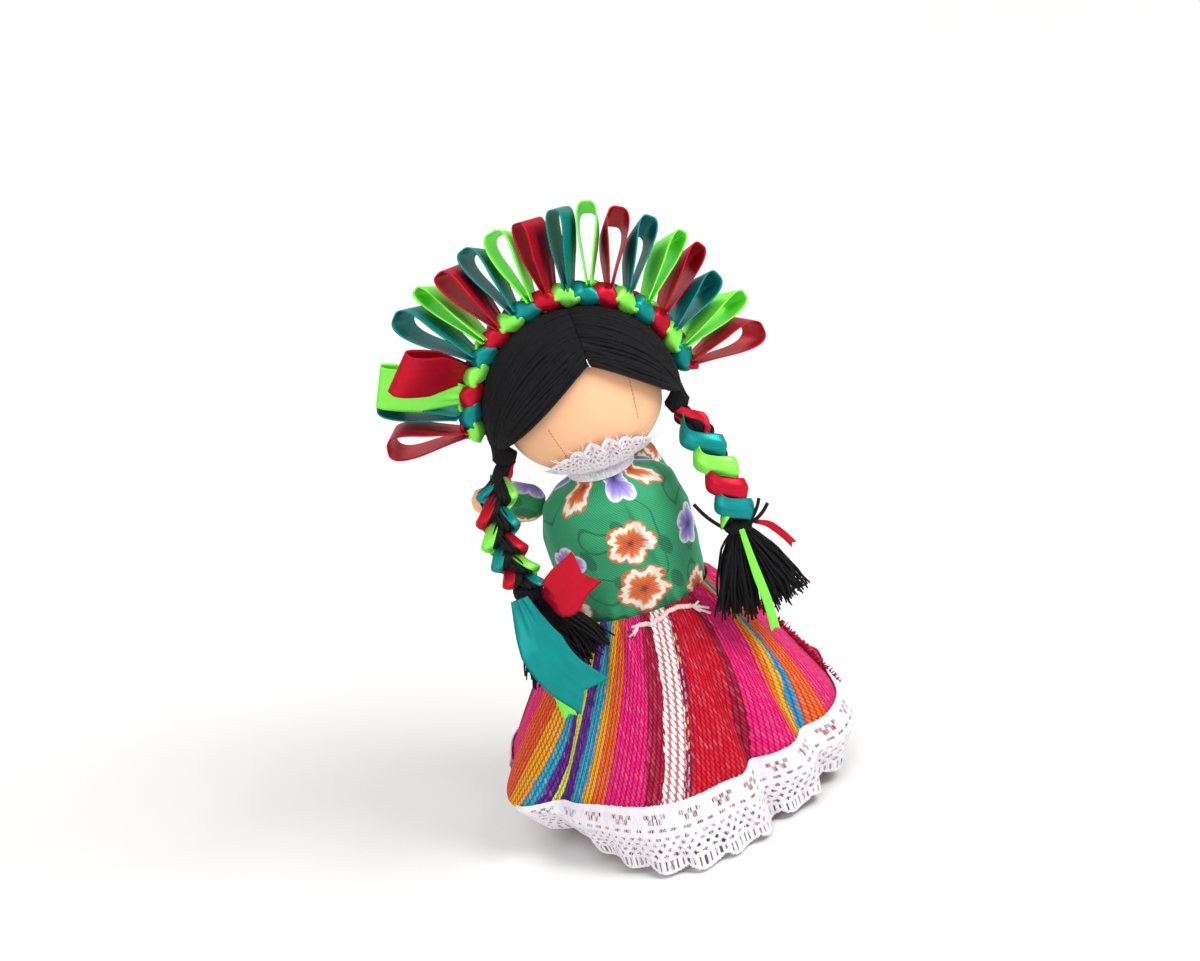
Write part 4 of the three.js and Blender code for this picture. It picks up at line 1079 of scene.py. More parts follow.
BLOUSE_GRID = (300, 72)
BLOUSE_PRINT = (93, 32)  # the part of the print that the blouse shows
BLOUSE_TUCK = 1
BLOUSE_TOP = 0.93  # share of its height above which the blouse lies smooth
BLOUSE_RUN = 0.3  # share of its height in which its folds begin, and in which the waist's gathers end
BLOUSE_DEEPEST = -0.42
LAP_TURNS = (26, 4)  # where the cloth laps over itself, at the waist and at the neck
LAP_STEP = 1.3
LAP_HALF_TURN = 1.3
LAP_FADE = 11  # degrees in which the step goes down again
LAP_HOLLOW = 0.35
LAP_HOLLOW_BEFORE = 6
LAP_HOLLOW_WIDTH = 5
PULL_DEPTH = 0.34
PULL_LUMPS = {"size": 9, "seed": 21}
PULL_RADIUS = 11
PULL_LEAN = 0.4
PULL_SQUASH = 0.6
WAIST_GATHERS = 26
WAIST_GATHER_DEPTH = 0.2


def blouse_surface(u, v):
    turn = FULL * (u - 0.5)
    z = mix(WAIST_Z - BLOUSE_TUCK, neckline, v)
    folded = ease((BLOUSE_TOP - v) / BLOUSE_RUN)
    near_waist = ease((BLOUSE_RUN - v) / BLOUSE_RUN)
    lap = mix(*LAP_TURNS, v)
    past = np.degrees(turn) - lap
    edge = ease((past + LAP_HALF_TURN) / (2 * LAP_HALF_TURN))
    step = LAP_STEP * edge * np.exp(-np.maximum(past, 0) / LAP_FADE)
    hollow = LAP_HOLLOW * hump(turn, lap - LAP_HOLLOW_BEFORE, LAP_HOLLOW_WIDTH)
    pulls = PULL_DEPTH * lumps(turn * PULL_RADIUS + z * PULL_LEAN, z * PULL_SQUASH, **PULL_LUMPS)
    gathered = WAIST_GATHER_DEPTH * gathers(turn, WAIST_GATHERS) * near_waist
    reach = folded * np.maximum(step - hollow + pulls + gathered, BLOUSE_DEEPEST)
    half_width, half_depth = (
        torso_half(np.minimum(z, neck_foot), size) + blouse_outer - CLOTH_INSET + reach
        for size in (TORSO_WIDTH, TORSO_DEPTH)
    )
    return oval(half_width, half_depth, 0, z, turn)


def make_blouse():
    piece = lay_cloth("blouse_cloth", BLOUSE_GRID, blouse_surface, BLOUSE_PRINT)
    soften(piece, times=1)
    thicken(piece, CLOTH_SHELL)
    dress(piece, "body", "print", "blouse")
    declare_cloth(BLOUSE_FLAT)


# Skirt

SKIRT_GRID = (320, 56)
SKIRT_SHELL = 0.6
SKIRT_INSET = 0.35
SKIRT_CURL = 0.5
SKIRT_CURL_RUN = 0.1  # share of the cloth's fall in which its hem curls
SKIRT_CURL_RADIUS = 30
SKIRT_CURL_LUMPS = {"size": 16, "seed": 9}
STRIPE_TWIST = 21.5  # degrees by which the stripes lean from the waist to the hem
HEM_LIFT = 4  # how much higher the hem hangs at the sides
HEM_LOBES = (
    (-84, 20, 2.4), (-59, 8, -3.4), (-30, 14, 0.8), (13, 5, 1.7), (20, 3.5, -2.0), (32, 7, 1.4),
    (43, 5, -2.4), (66, 14, 1.4), (110, 8, -1.4), (152, 8, -1.6), (172, 10, 1.2), (-140, 9, -1.6),
    (-115, 8, 0.8),
)  # turn, width and depth of the cloth's own folds at the hem
LOBE_RUN = 0.65  # fall at which those folds reach their full depth
GATHERS_COARSE = (34, 2, 3)
GATHERS_FINE = (57, 1.5, 5)
GATHERS_FINE_SHARE = 0.5
GATHER_DEPTH = 0.5
GATHER_START = 0.03  # fall at which the gathers are deepest
GATHER_FADE = 0.2
FRAY_TURN = 79  # where the skirt's own edge is left frayed, at the hem
FRAY_TURN_SPREAD = 0.5
FRAY_THREADS = 230
FRAY_RISE = (0.04, 0.8)
FRAY_INSET = -0.3
FRAY_LENGTH = (0.9, 2.1)
FRAY_OUT = 0.7
FRAY_ASIDE = (-0.7, 0.2)
FRAY_UP = (-0.3, 0.8)
FRAY_BEND = 0.3
FRAY_RADIUS = 0.16

hem_fall = (WAIST_Z - SKIRT_HEM_Z) / WAIST_Z
skirt_waist_width, skirt_waist_depth = (
    waist_share * size / 2 + blouse_outer + GAP + CLOTH for size in (TORSO_WIDTH, TORSO_DEPTH)
)


def fold_at(turn):
    from_valley = turn - math.radians(FOLD_VALLEY_TURN)
    folds = np.cos(FOLD_COUNT * from_valley) + SLOW_FOLD_SHARE * np.cos(SLOW_FOLDS * from_valley)
    return -folds / (1 + SLOW_FOLD_SHARE)


def own_folds(turn, fall):
    """The cloth's own folds: gathers at the waist and lobes at the hem."""
    waves = gathers(turn, *GATHERS_COARSE) + GATHERS_FINE_SHARE * gathers(turn, *GATHERS_FINE)
    near_waist = GATHER_DEPTH * np.exp(-fall / GATHER_FADE) * ease(fall / GATHER_START)
    lobes = sum(depth * hump(turn, middle, width) for middle, width, depth in HEM_LOBES)
    return waves * near_waist + lobes * ease(fall / LOBE_RUN)


def skirt_point(turn, z, grow, as_solid=False):
    """Point of the skirt or its lace, or of the skirt's solid, which has the main folds only."""
    fall = (WAIST_Z - z) / WAIST_Z
    flare = np.minimum(1, fall / hem_fall) ** FLARE_POWER
    reach = FOLD_DEPTH * fall * fold_at(turn) + grow
    lift = 0
    if not as_solid:
        below = np.maximum(0, fall - hem_fall) / (1 - hem_fall)
        tuck = below * mix(-LACE_SPLAY, LACE_TUCK, np.sin(turn) ** 2)
        reach = reach + own_folds(turn, fall) - tuck
        lift = HEM_LIFT * np.sin(turn) ** 2 * np.clip(fall / hem_fall, 0, 1) ** 2
    half_width = mix(skirt_waist_width, HEM_WIDTH / 2, flare) + reach
    half_depth = mix(skirt_waist_depth, HEM_DEPTH / 2, flare) + reach
    return oval(half_width, half_depth, 0, z + lift, turn)


def skirt_surface(u, v):
    turn = FULL * (u - 0.5) + math.radians(STRIPE_TWIST) * v
    z = mix(SKIRT_HEM_Z, WAIST_Z, v)
    curl = SKIRT_CURL * lumps(turn * SKIRT_CURL_RADIUS, 0 * z, **SKIRT_CURL_LUMPS)
    return skirt_point(turn, z, curl * ease((SKIRT_CURL_RUN - v) / SKIRT_CURL_RUN) - SKIRT_INSET)


def make_skirt():
    piece = lay_cloth("skirt_cloth", SKIRT_GRID, skirt_surface, SKIRT_FLAT)
    thicken(piece, SKIRT_SHELL)
    dress(piece, "body", "weave", "skirt")
    declare_cloth(SKIRT_FLAT)


def make_frayed_edge():
    paths = []
    for _ in range(FRAY_THREADS):
        rise = chance.uniform(*FRAY_RISE)
        turn = math.radians(FRAY_TURN + STRIPE_TWIST * rise + chance.normal(0, FRAY_TURN_SPREAD))
        start = skirt_point(turn, mix(SKIRT_HEM_Z, WAIST_Z, rise), FRAY_INSET)
        length = chance.uniform(*FRAY_LENGTH)
        way = unit(np.array([FRAY_OUT, chance.uniform(*FRAY_ASIDE), chance.uniform(*FRAY_UP)]))
        bend = chance.normal(0, FRAY_BEND) * UPRIGHT
        paths.append(np.stack([start, start + length / 2 * way + bend, start + length * way]))
    piece = strands("skirt_frayed_edge", paths, FRAY_RADIUS, round_sides=0)
    dress(piece, "body", "weave", finish="fray")


# Lace of the hem

LACE_REPEATS = 32
LACE_CELL = 0.3  # size of the grid that the openwork is cut from
LACE_SHELL = 0.26
LACE_SHARE = 0.94  # of the lace's flat area that is cloth, not holes
LACE_OFF = 0.62  # how far the lace lies outside the skirt's line
LACE_LOWEST = 0.14
LACE_HIDDEN_TURN = -86  # where the lace is folded under the skirt's hem
LACE_HIDDEN_WIDTH = 34
LACE_FOLD_UNDER = 6.4
LACE_INSIDE_FROM = 0.8
LACE_INSIDE_BY = 1.9
LACE_RUFFLES = 31
LACE_RUFFLE_DRIFTS = 4
LACE_RUFFLE_DEPTH = 0.75
LACE_RUFFLE_START = 4
LACE_RUFFLE_RUN = 9
LACE_SCALLOP_RISE = 1.5
LACE_SCALLOP_POWER = 0.7
LACE_RIM = 0.75
LACE_ROWS = (
    ((1.7, 2.75), ((0.4, 1.5), (2.2, 3.3), (4.0, 5.1))),
    ((2.75, 3.8), ((1.3, 2.4), (3.1, 4.2))),
    ((4.7, 5.3), ((0.9, 2.4), (3.4, 4.9), (5.9, 7.2))),
)  # drops between which a row of holes lies, and each hole's start and end in one repeat
LACE_NET = (6.2, 11.2)
LACE_NET_COLUMNS = 4  # to a repeat
LACE_NET_ROW = 1.25
LACE_NET_OPEN = (0.3, 0.36)
LACE_FRINGE_TOP = 11.7
LACE_FRINGE_COLUMNS = 7
LACE_FRINGE_OPEN = 0.35
LACE_THREADS = 760
LACE_THREAD_ASIDE = 0.6
LACE_THREAD_TOP = (-0.35, 0.1)
LACE_THREAD_FOOT = (0.55, 1.0)
LACE_THREAD_END = 0.2  # above the scalloped edge
LACE_THREAD_POINTS = 12
LACE_THREAD_LEAN = 0.05
LACE_THREAD_SWAY = 0.12
LACE_THREAD_WAVE = 1.6
LACE_THREAD_OFF = 0.16
LACE_THREAD_RADIUS = 0.08

lace_unit = LACE_FLAT[0] / LACE_REPEATS


def within(x, *ranges):
    return np.any([(x > low) & (x < high) for low, high in ranges], axis=0)


def diamonds(along, drop, width, height, half_open):
    """Staggered diamond holes, half_open = half of a hole's width and height as shares of its cell."""
    row = np.floor(drop / height)
    x = np.abs((along / width + 0.5 * (row % 2)) % 1 - 0.5)
    y = np.abs((drop / height) % 1 - 0.5)
    return x / half_open[0] + y / half_open[1] < 1


def lace_point(u, drop, off=0.0):
    """Point of the hem lace: u once round, drop in millimetres below its upper edge."""
    turn = FULL * (u - 0.5)
    under = hump(turn, LACE_HIDDEN_TURN, LACE_HIDDEN_WIDTH)
    drop = drop + LACE_FOLD_UNDER * under * (1 - drop / LACE_FLAT[1])
    z = np.maximum(LACE_HEIGHT * (1 - drop / LACE_FLAT[1]), LACE_LOWEST)
    ruffled = LACE_RUFFLE_DEPTH * ease((drop - LACE_RUFFLE_START) / LACE_RUFFLE_RUN)
    ruffle = ruffled * np.sin(LACE_RUFFLES * turn + np.sin(LACE_RUFFLE_DRIFTS * turn))
    inside = LACE_INSIDE_BY * ease((under - LACE_INSIDE_FROM) / (1 - LACE_INSIDE_FROM))
    return skirt_point(turn, z, LACE_OFF + off + ruffle - inside)


def lace_edge(along):
    """Drop of the scalloped lower edge."""
    scallop = np.abs(np.sin(np.pi * along / lace_unit)) ** LACE_SCALLOP_POWER
    return LACE_FLAT[1] - LACE_SCALLOP_RISE * (1 - scallop)


def lace_holes(u, v):
    along = u * LACE_FLAT[0]
    drop = (1 - v) * LACE_FLAT[1]
    edge = lace_edge(along)
    rows = [within(drop, band) & within(along % lace_unit, *holes) for band, holes in LACE_ROWS]
    cell = lace_unit / LACE_NET_COLUMNS
    net = within(drop, LACE_NET) & diamonds(along, drop - LACE_NET[0], cell, LACE_NET_ROW, LACE_NET_OPEN)
    between_bars = along % (lace_unit / LACE_FRINGE_COLUMNS) < LACE_FRINGE_OPEN
    fringe = (drop > LACE_FRINGE_TOP) & (drop < edge - LACE_RIM) & between_bars
    return np.any([*rows, net, fringe, drop > edge], axis=0)


def make_hem_lace():
    def openwork(u, v):
        return lace_point(u, (1 - v) * LACE_FLAT[1])

    grid = [round(size / LACE_CELL) for size in LACE_FLAT]
    piece = lay_cloth("hem_lace_openwork", grid, openwork, LACE_FLAT, holes=lace_holes)
    thicken(piece, LACE_SHELL)
    dress(piece, "body", "lace", "hem_lace")
    declare_cloth(LACE_FLAT, LACE_SHARE)
    paths = []
    for k in range(LACE_THREADS):
        u = (k + chance.uniform(0, LACE_THREAD_ASIDE)) / LACE_THREADS
        last = lace_edge(u * LACE_FLAT[0]) - LACE_THREAD_END
        top = chance.uniform(*LACE_THREAD_TOP)
        drop = np.linspace(top, chance.uniform(*LACE_THREAD_FOOT) * last, LACE_THREAD_POINTS)
        lean = LACE_THREAD_LEAN * drop + LACE_THREAD_SWAY * np.sin(drop * LACE_THREAD_WAVE + k)
        paths.append(lace_point(u + lean / LACE_FLAT[0], drop, LACE_THREAD_OFF))
    threads = strands("hem_lace_threads", paths, LACE_THREAD_RADIUS, round_sides=0)
    dress(threads, "body", "lace")


# Cord at the waist

CORD_TURNS = (-9, 31)
CORD_POINTS = 24
CORD_DROP = 1.0
CORD_SAG = 0.5
CORD_SAG_ANGLE = 7
CORD_OFF = 0.55
CORD_RADIUS = 0.27
CORD_PLIES = 3
CORD_PLY_TURNS = 9
CORD_PLY_POINTS = 5  # to each point of the cord
CORD_PLY_OFF = np.array([0.102, 0.238, 0.34])
CORD_END_THREADS = 7
CORD_END_LENGTH = (1.6, 3.8)
CORD_END_ASIDE = (0.5, 1.0)
CORD_END_AHEAD = -0.25
CORD_END_RISE = (-0.9, 0.25)
CORD_END_BOW = -0.4
CORD_END_BOW_RISE = (-0.3, 0.3)


def make_waist_cord():
    turns = np.radians(np.linspace(*CORD_TURNS, CORD_POINTS))
    drop = CORD_DROP + CORD_SAG * np.sin(np.linspace(0, CORD_SAG_ANGLE, CORD_POINTS))
    core = skirt_point(turns, WAIST_Z - drop, CORD_OFF)
    run = shares(CORD_POINTS * CORD_PLY_POINTS)
    middle = np.stack([np.interp(run, shares(CORD_POINTS), column) for column in core.T], axis=1)
    paths = [core]
    for ply in range(CORD_PLIES):
        spin = FULL * (CORD_PLY_TURNS * run + ply / CORD_PLIES)
        paths.append(middle + CORD_PLY_OFF * vec(np.cos(spin), -np.abs(np.cos(spin)), np.sin(spin)))
    for end, sign in ((core[0], -1), (core[-1], 1)):
        for _ in range(CORD_END_THREADS):
            length = chance.uniform(*CORD_END_LENGTH)
            aside = sign * chance.uniform(*CORD_END_ASIDE)
            drift = length * np.array([aside, CORD_END_AHEAD, chance.uniform(*CORD_END_RISE)])
            bow = np.array([0, CORD_END_BOW, chance.uniform(*CORD_END_BOW_RISE)])
            paths.append(np.stack([end, end + drift / 2 + bow, end + drift]))
    piece = strands("waist_cord_frayed", paths, CORD_RADIUS)
    dress(piece, "body", "cord", "waist_cord")


# Lace collar

COLLAR_FRONT = 12
COLLAR_BACK = 3
COLLAR_FALL = 5  # how quickly the collar falls from its front to its back
COLLAR_CELLS = (840, 42)
COLLAR_SHELL = 0.2
COLLAR_SHARE = 0.7  # of the collar's flat area that is cloth, not holes
COLLAR_FOOT = 0.2
COLLAR_OFF = 0.85
COLLAR_SCALLOPS = 13
COLLAR_SCALLOP_DRIFTS = 2
COLLAR_SCALLOP_DEPTH = 0.1
COLLAR_RUFFLES_COARSE = (20, 2.2, 3)
COLLAR_RUFFLES_FINE = (33,)
COLLAR_RUFFLE_DEPTHS = (0.6, 0.3)
COLLAR_COLUMN = 4.1 / 3  # from one hole of the net to the next
COLLAR_NET = (0.9, 5.7)
COLLAR_NET_ROW = 1.2
COLLAR_NET_OPEN = (0.4, 0.42)
COLLAR_BARS = (6.4, 7.2)
COLLAR_BAR_OPEN = 0.6
COLLAR_THREADS = 460
COLLAR_THREAD_ASIDE = 0.8
COLLAR_THREAD_FOOT = (0, 0.2)
COLLAR_THREAD_TOP = (0.6, 1.02)
COLLAR_THREAD_POINTS = 7
COLLAR_THREAD_LEAN = 0.05
COLLAR_THREAD_SWAY = 0.012
COLLAR_THREAD_WAVE = 7
COLLAR_THREAD_OFF = 0.13
COLLAR_THREAD_RADIUS = 0.065
COLLAR_STRAYS = 34
STRAY_TURN = (-0.1, 0.5)  # middle and spread of the loose threads round the collar
STRAY_RUN = (0.8, 1.02)
STRAY_LEAN = 0.1
STRAY_OFF = 0.25
STRAY_ASIDE = 1.3
STRAY_AHEAD = 0.5
STRAY_RISE = 1.5


def collar_point(turn, share, off=0.0):
    front = ((1 + np.cos(turn)) / 2) ** COLLAR_FALL
    scallop = np.sqrt(np.abs(np.sin(COLLAR_SCALLOPS * turn + np.sin(COLLAR_SCALLOP_DRIFTS * turn))))
    height = mix(COLLAR_BACK, COLLAR_FRONT, front) * mix(1 - COLLAR_SCALLOP_DEPTH, 1, scallop)
    z = neckline + COLLAR_FOOT + share * height
    up = np.clip((z - head_z) / CHIN_DROP, -1, 0)
    chin = np.sqrt(1 - up * up)
    coarse, fine = COLLAR_RUFFLE_DEPTHS
    ruffle = coarse * gathers(turn, *COLLAR_RUFFLES_COARSE) + fine * gathers(turn, *COLLAR_RUFFLES_FINE)
    clear = GAP + COLLAR_OFF + share * ruffle + off
    half_width, half_depth = (
        np.maximum(NECK_RADIUS, size / 2 * chin) + clear for size in (HEAD_WIDTH, HEAD_DEPTH)
    )
    return oval(half_width, half_depth, 0, z, turn)


def collar_holes(u, v):
    along = u * COLLAR_FLAT[0]
    drop = (1 - v) * COLLAR_FLAT[1]
    in_diamond = diamonds(along, drop - COLLAR_NET[0], COLLAR_COLUMN, COLLAR_NET_ROW, COLLAR_NET_OPEN)
    bars = within(drop, COLLAR_BARS) & (along % COLLAR_COLUMN < COLLAR_BAR_OPEN)
    return (within(drop, COLLAR_NET) & in_diamond) | bars


def make_collar():
    def ruffle(u, v):
        return collar_point(FULL * (u - 0.5), v)

    piece = lay_cloth("collar_lace_frill", COLLAR_CELLS, ruffle, COLLAR_FLAT, holes=collar_holes)
    thicken(piece, COLLAR_SHELL)
    run = shares(COLLAR_THREAD_POINTS)
    paths = []
    for k in range(COLLAR_THREADS):
        turn = FULL * ((k + chance.uniform(0, COLLAR_THREAD_ASIDE)) / COLLAR_THREADS - 0.5)
        foot = chance.uniform(*COLLAR_THREAD_FOOT)
        share = mix(foot, chance.uniform(*COLLAR_THREAD_TOP), run)
        lean = COLLAR_THREAD_LEAN * share + COLLAR_THREAD_SWAY * np.sin(COLLAR_THREAD_WAVE * share + k)
        paths.append(collar_point(turn + lean, share, COLLAR_THREAD_OFF))
    for _ in range(COLLAR_STRAYS):
        turn = chance.normal(*STRAY_TURN)
        lean = chance.normal(0, STRAY_LEAN) * run
        spots = collar_point(turn + lean, mix(*STRAY_RUN, run), STRAY_OFF)
        aside = chance.normal(0, STRAY_ASIDE)
        ahead = -abs(chance.normal(0, STRAY_AHEAD))
        paths.append(spots + steps(run ** 2, np.array([aside, ahead, chance.uniform(0, STRAY_RISE)])))
    join(piece, strands("collar_threads", paths, COLLAR_THREAD_RADIUS, round_sides=0))
    dress(piece, "body", "lace", "collar_lace")
    declare_cloth(COLLAR_FLAT, COLLAR_SHARE)


# Hair

HAIR_GRID = (90, 40)
HAIR_FLAT = (60, 36)
HAIR_UNDER = -0.9  # how far the hank's underlay lies below the hair's outside
HAIR_UNDER_END = 0.97
HAIR_SHELL = 1.4
HAIR_ROOT_WAY = (0.966, -0.234, -0.109)  # from the head's middle to where the hair is gathered
PARTING_GAP = 0.004
FRONT_SAG = {"left": 0.2, "right": 0.13}
SAG_WAY = (-0.5, -0.1, -0.85)
SAG_RUN = 0.16  # share of the parting in which the front's sag fades
HAIR_STRANDS = 330
HAIR_YARN_RADIUS = 0.34
HAIR_POINTS = 15
HAIR_END = 0.93
HAIR_JITTER = (-1.5, 1.5)
HAIR_DRIFT = 0.018
HAIR_WAVE = 0.003
HAIR_WAVE_ANGLE = 9
HAIR_LAYERS = (-0.55, 0.25)
HAIR_SWELL = 0.25
HAIR_PARTING_DIP = 0.3
HAIR_PARTING_RUN = 0.12
HAIR_BUNCH_RADIUS = 2.6
HAIR_BUNCH_DROP = 2.2
HAIR_BUNCH_FOOT = 4.2
HAIR_BUNCH_NARROWING = 0.6
STITCH_PARTINGS = (0.014, 0.007, 0.0)
STITCH_OFF = 0.35
STITCH_HANG = np.array([0.3, -0.6, -0.9])
PARTING_STITCH_RADIUS = 0.11

hair_half_width = HEAD_WIDTH / 2 + HAIR_SIDE
hair_half_depth = HEAD_DEPTH / 2 + (HAIR_FRONT + HAIR_BACK) / 2
hair_y = (HAIR_BACK - HAIR_FRONT) / 2
hair_above = CROWN_RISE + HAIR_TOP
hair_below = CHIN_DROP + HAIR_SIDE
hair_root = np.array(
    [hair_half_width - HAIR_ROOT_RADIUS / 2, -HAIR_ROOT_RADIUS, head_z - HAIR_ROOT_RADIUS / 2]
)


def hair_place(way, off):
    """Point on the hair in a direction from the head's middle."""
    x, y, z = np.moveaxis(unit(way), -1, 0)
    up = np.where(z < 0, hair_below, hair_above)
    return vec(x * (hair_half_width + off), hair_y + y * (hair_half_depth + off), head_z + z * (up + off))


def hair_way(side, parting, share):
    """Direction of a strand that starts at a share of the parting, brow to nape, at a share of its run."""
    off_middle = PARTING_X / hair_half_width
    ring = math.sqrt(1 - off_middle ** 2)
    brow = math.asin(HAIRLINE_RISE / hair_above / ring)
    nape = math.pi + math.asin(HAIR_NAPE_DROP / hair_below / ring)
    round_head = mix(brow, nape, parting)
    across = off_middle + SIDES[side] * PARTING_GAP
    start = vec(across, -ring * np.cos(round_head), ring * np.sin(round_head))
    root = unit(on_side(side, HAIR_ROOT_WAY))
    angle = np.arccos(np.clip(start @ root, -1, 1))
    way = np.sin((1 - share) * angle)[..., None] * start + steps(np.sin(share * angle), root)
    sag = FRONT_SAG[side] * np.sin(np.pi * share) * np.exp(-((parting / SAG_RUN) ** 2))
    return way / np.sin(angle)[..., None] + steps(sag, on_side(side, SAG_WAY))


def make_hair(side):
    def underlay(u, v):
        return hair_place(hair_way(side, u, np.minimum(v, HAIR_UNDER_END)), HAIR_UNDER)

    piece = lay_cloth(f"hair_{side}_hank", HAIR_GRID, underlay, HAIR_FLAT)
    thicken(piece, HAIR_SHELL)
    share = np.linspace(0, HAIR_END, HAIR_POINTS)
    bunch = on_side(side, hair_root)
    paths = []
    for k in range(HAIR_STRANDS):
        parting = np.clip((k + chance.uniform(*HAIR_JITTER)) / (HAIR_STRANDS - 1), 0, 1)
        wave = HAIR_WAVE * np.sin(HAIR_WAVE_ANGLE * share + k)
        drift = chance.normal(0, HAIR_DRIFT) * np.sin(np.pi * share) + wave
        swell = chance.uniform(*HAIR_LAYERS) + HAIR_SWELL * np.sin(np.pi * share)
        off = swell - HAIR_PARTING_DIP * (1 - ease(share / HAIR_PARTING_RUN))
        spots = hair_place(hair_way(side, np.clip(parting + drift, 0, 1), share), off)
        spin = chance.uniform(0, FULL)
        radius = HAIR_BUNCH_RADIUS * math.sqrt(chance.uniform(0, 1))
        aside = radius * np.array([math.cos(spin), math.sin(spin), 0])
        end = bunch + aside - HAIR_BUNCH_DROP * UPRIGHT
        foot = bunch + HAIR_BUNCH_NARROWING * aside - HAIR_BUNCH_FOOT * UPRIGHT
        paths.append(np.concatenate([spots, [end, foot]]))
    join(piece, strands(f"hair_{side}_yarn", paths, HAIR_YARN_RADIUS))
    dress(piece, "body", "yarn", f"hair_{side}")


def make_parting_stitch():
    over = hair_place(hair_way("left", np.array(STITCH_PARTINGS), 0.0), STITCH_OFF)
    paths = [over, np.array([over[-1], over[-1] + STITCH_HANG])]
    piece = strands("parting_stitch", paths, PARTING_STITCH_RADIUS)
    dress(piece, "body", "lace")


# Plaits of three strands

def plait_radius(sway, lift):
    """Radius at which the strands of a plait just clear each other."""
    return (math.sqrt(3 * (sway ** 2 / 2 - sway ** 4 / (16 * lift ** 2))) - GAP) / 2


def strand_phase(turns, order, share):
    return FULL * (turns * share + order / len(RIBBONS))


def strand_place(sway, lift, turns, order, share):
    """How far a strand lies beside the plait's middle line, and ahead of it."""
    phase = strand_phase(turns, order, share)
    return sway * np.sin(phase), lift * np.sin(2 * phase)


def run_of(line, share, step):
    """Run of a line over a short step to either side of a share of it."""
    return line(np.clip(share + step, 0, 1)) - line(np.clip(share - step, 0, 1))


# Crown

CROWN_SPAN = math.pi
CROWN_GRID = (280, 24)
CROWN_RIBBON_LENGTH = 150
CROWN_HALF_WIDE = 2.3  # half sizes of a crown ribbon folded on itself
CROWN_HALF_DEEP = 0.85
CROWN_CLOSE = 0.86  # how close together the plait is drawn
CROWN_END = 0.006  # share of a ribbon in which its end rounds off
CROWN_FLATNESS = 0.7
CROWN_CREASES = ((0.07, 5, 40), (0.05, 9, -26))  # depth, number round the ribbon, and drift along it
CROWN_DRAWN_IN = 0.16
CROWN_DRAWN_PHASE = 2
CROWN_PLEAT_DEPTH = 0.05
CROWN_PLEATS = 7
CROWN_PLEAT_SWAY = 9
CROWN_PLEAT_WAVES = 30
CROWN_STEP = 0.002
CROWN_HINT_STEP = 0.004

crown_strand = plait_radius(CROWN_SWAY, CROWN_LIFT)
crown_half_depth = CROWN_LIFT + crown_strand
arch_half = hair_half_width + GAP + crown_half_depth
arch_rise = hair_above + GAP + crown_half_depth
arch_y = hair_y + CROWN_SETBACK
crown_radius = (arch_half + arch_rise) / 2
crown_turns = CROWN_SPAN * crown_radius / CROWN_PITCH


def arch_normal(turn):
    return unit(vec(-np.cos(turn) / arch_half, 0, np.sin(turn) / arch_rise))


def arch_point(turn, out):
    spot = vec(-arch_half * np.cos(turn), arch_y, head_z + arch_rise * np.sin(turn))
    return spot + np.asarray(out)[..., None] * arch_normal(turn)


def make_crown_ribbon(order, shade):
    def line(share):
        sway, lift = CROWN_SWAY * CROWN_CLOSE, CROWN_LIFT * CROWN_CLOSE
        across, ahead = strand_place(sway, lift, crown_turns, order, share)
        return arch_point(share * CROWN_SPAN, ahead) + steps(across, BACK)

    def across_hint(share):
        rock = 2 * CROWN_LIFT * np.cos(strand_phase(crown_turns, order, share))
        faces = CROWN_SWAY * BACK + rock[..., None] * arch_normal(share * CROWN_SPAN)
        return np.cross(faces, run_of(line, share, CROWN_HINT_STEP))

    def folded(turn, share):
        """Half width and half depth round a ribbon that is folded on itself."""
        rounded = np.sqrt(np.clip(np.minimum(share, 1 - share) / CROWN_END, 0, 1))
        creases = (depth * np.cos(count * turn + drift * share) for depth, count, drift in CROWN_CREASES)
        crease = 1 + sum(creases)
        flat = np.sign(np.cos(turn)) * np.abs(np.cos(turn)) ** CROWN_FLATNESS
        drawn = 1 - CROWN_DRAWN_IN * np.cos(2 * FULL * crown_turns * share + CROWN_DRAWN_PHASE) ** 2
        sway = CROWN_PLEAT_SWAY * np.sin(CROWN_PLEAT_WAVES * share)
        pleats = CROWN_PLEAT_DEPTH * np.cos(CROWN_PLEATS * flat + sway)
        deep = CROWN_HALF_DEEP * crease * np.sin(turn) + pleats
        return CROWN_HALF_WIDE * drawn * flat * rounded, deep * rounded

    def plaited(u, v):
        along = unit(run_of(line, u, CROWN_STEP))
        across = square_to(along, across_hint(u))
        wide, deep = folded(FULL * v, u)
        return line(u) + wide[:, None] * across + deep[:, None] * np.cross(along, across)

    piece = lay_cloth(f"crown_{shade}_plaited", CROWN_GRID, plaited, (CROWN_RIBBON_LENGTH, RIBBON_WIDTH))
    dress(piece, "body", f"satin_{shade}", f"crown_ribbon_{shade}")


# Loops of the headdress

LOOPS = (
    (16, 4, 0.95, 1.1), (40, 0, 1.04, 0.74), (4, 82, 1.1, 0.46), (-35, 80, 1.2, 0.64),
    (36, -6, 1.08, 1.15), (40, -8, 1.04, 0.6), (28, -16, 0.94, 0.85), (32, -12, 0.92, 0.95),
    (26, -14, 0.9, 1.1), (18, -32, 0.92, 0.6), (14, -24, 0.96, 0.65), (30, -14, 0.96, 0.85),
    (40, -8, 0.92, 1.05), (42, -6, 0.92, 0.9), (36, -2, 0.94, 0.65), (44, -8, 1.0, 0.8),
    (46, -6, 0.9, 1.0), (34, -6, 1.02, 0.75), (20, -6, 0.97, 1.15),
)  # lean back and twist in degrees, then reach and fullness as shares
LOOP_GRID = (96, 12)
LOOP_SHELL = 0.3
LOOP_SMOOTHINGS = 2
LOOP_RIBBON = 2.1  # length of a loop's ribbon to its reach
LOOP_SPREAD = 0.96
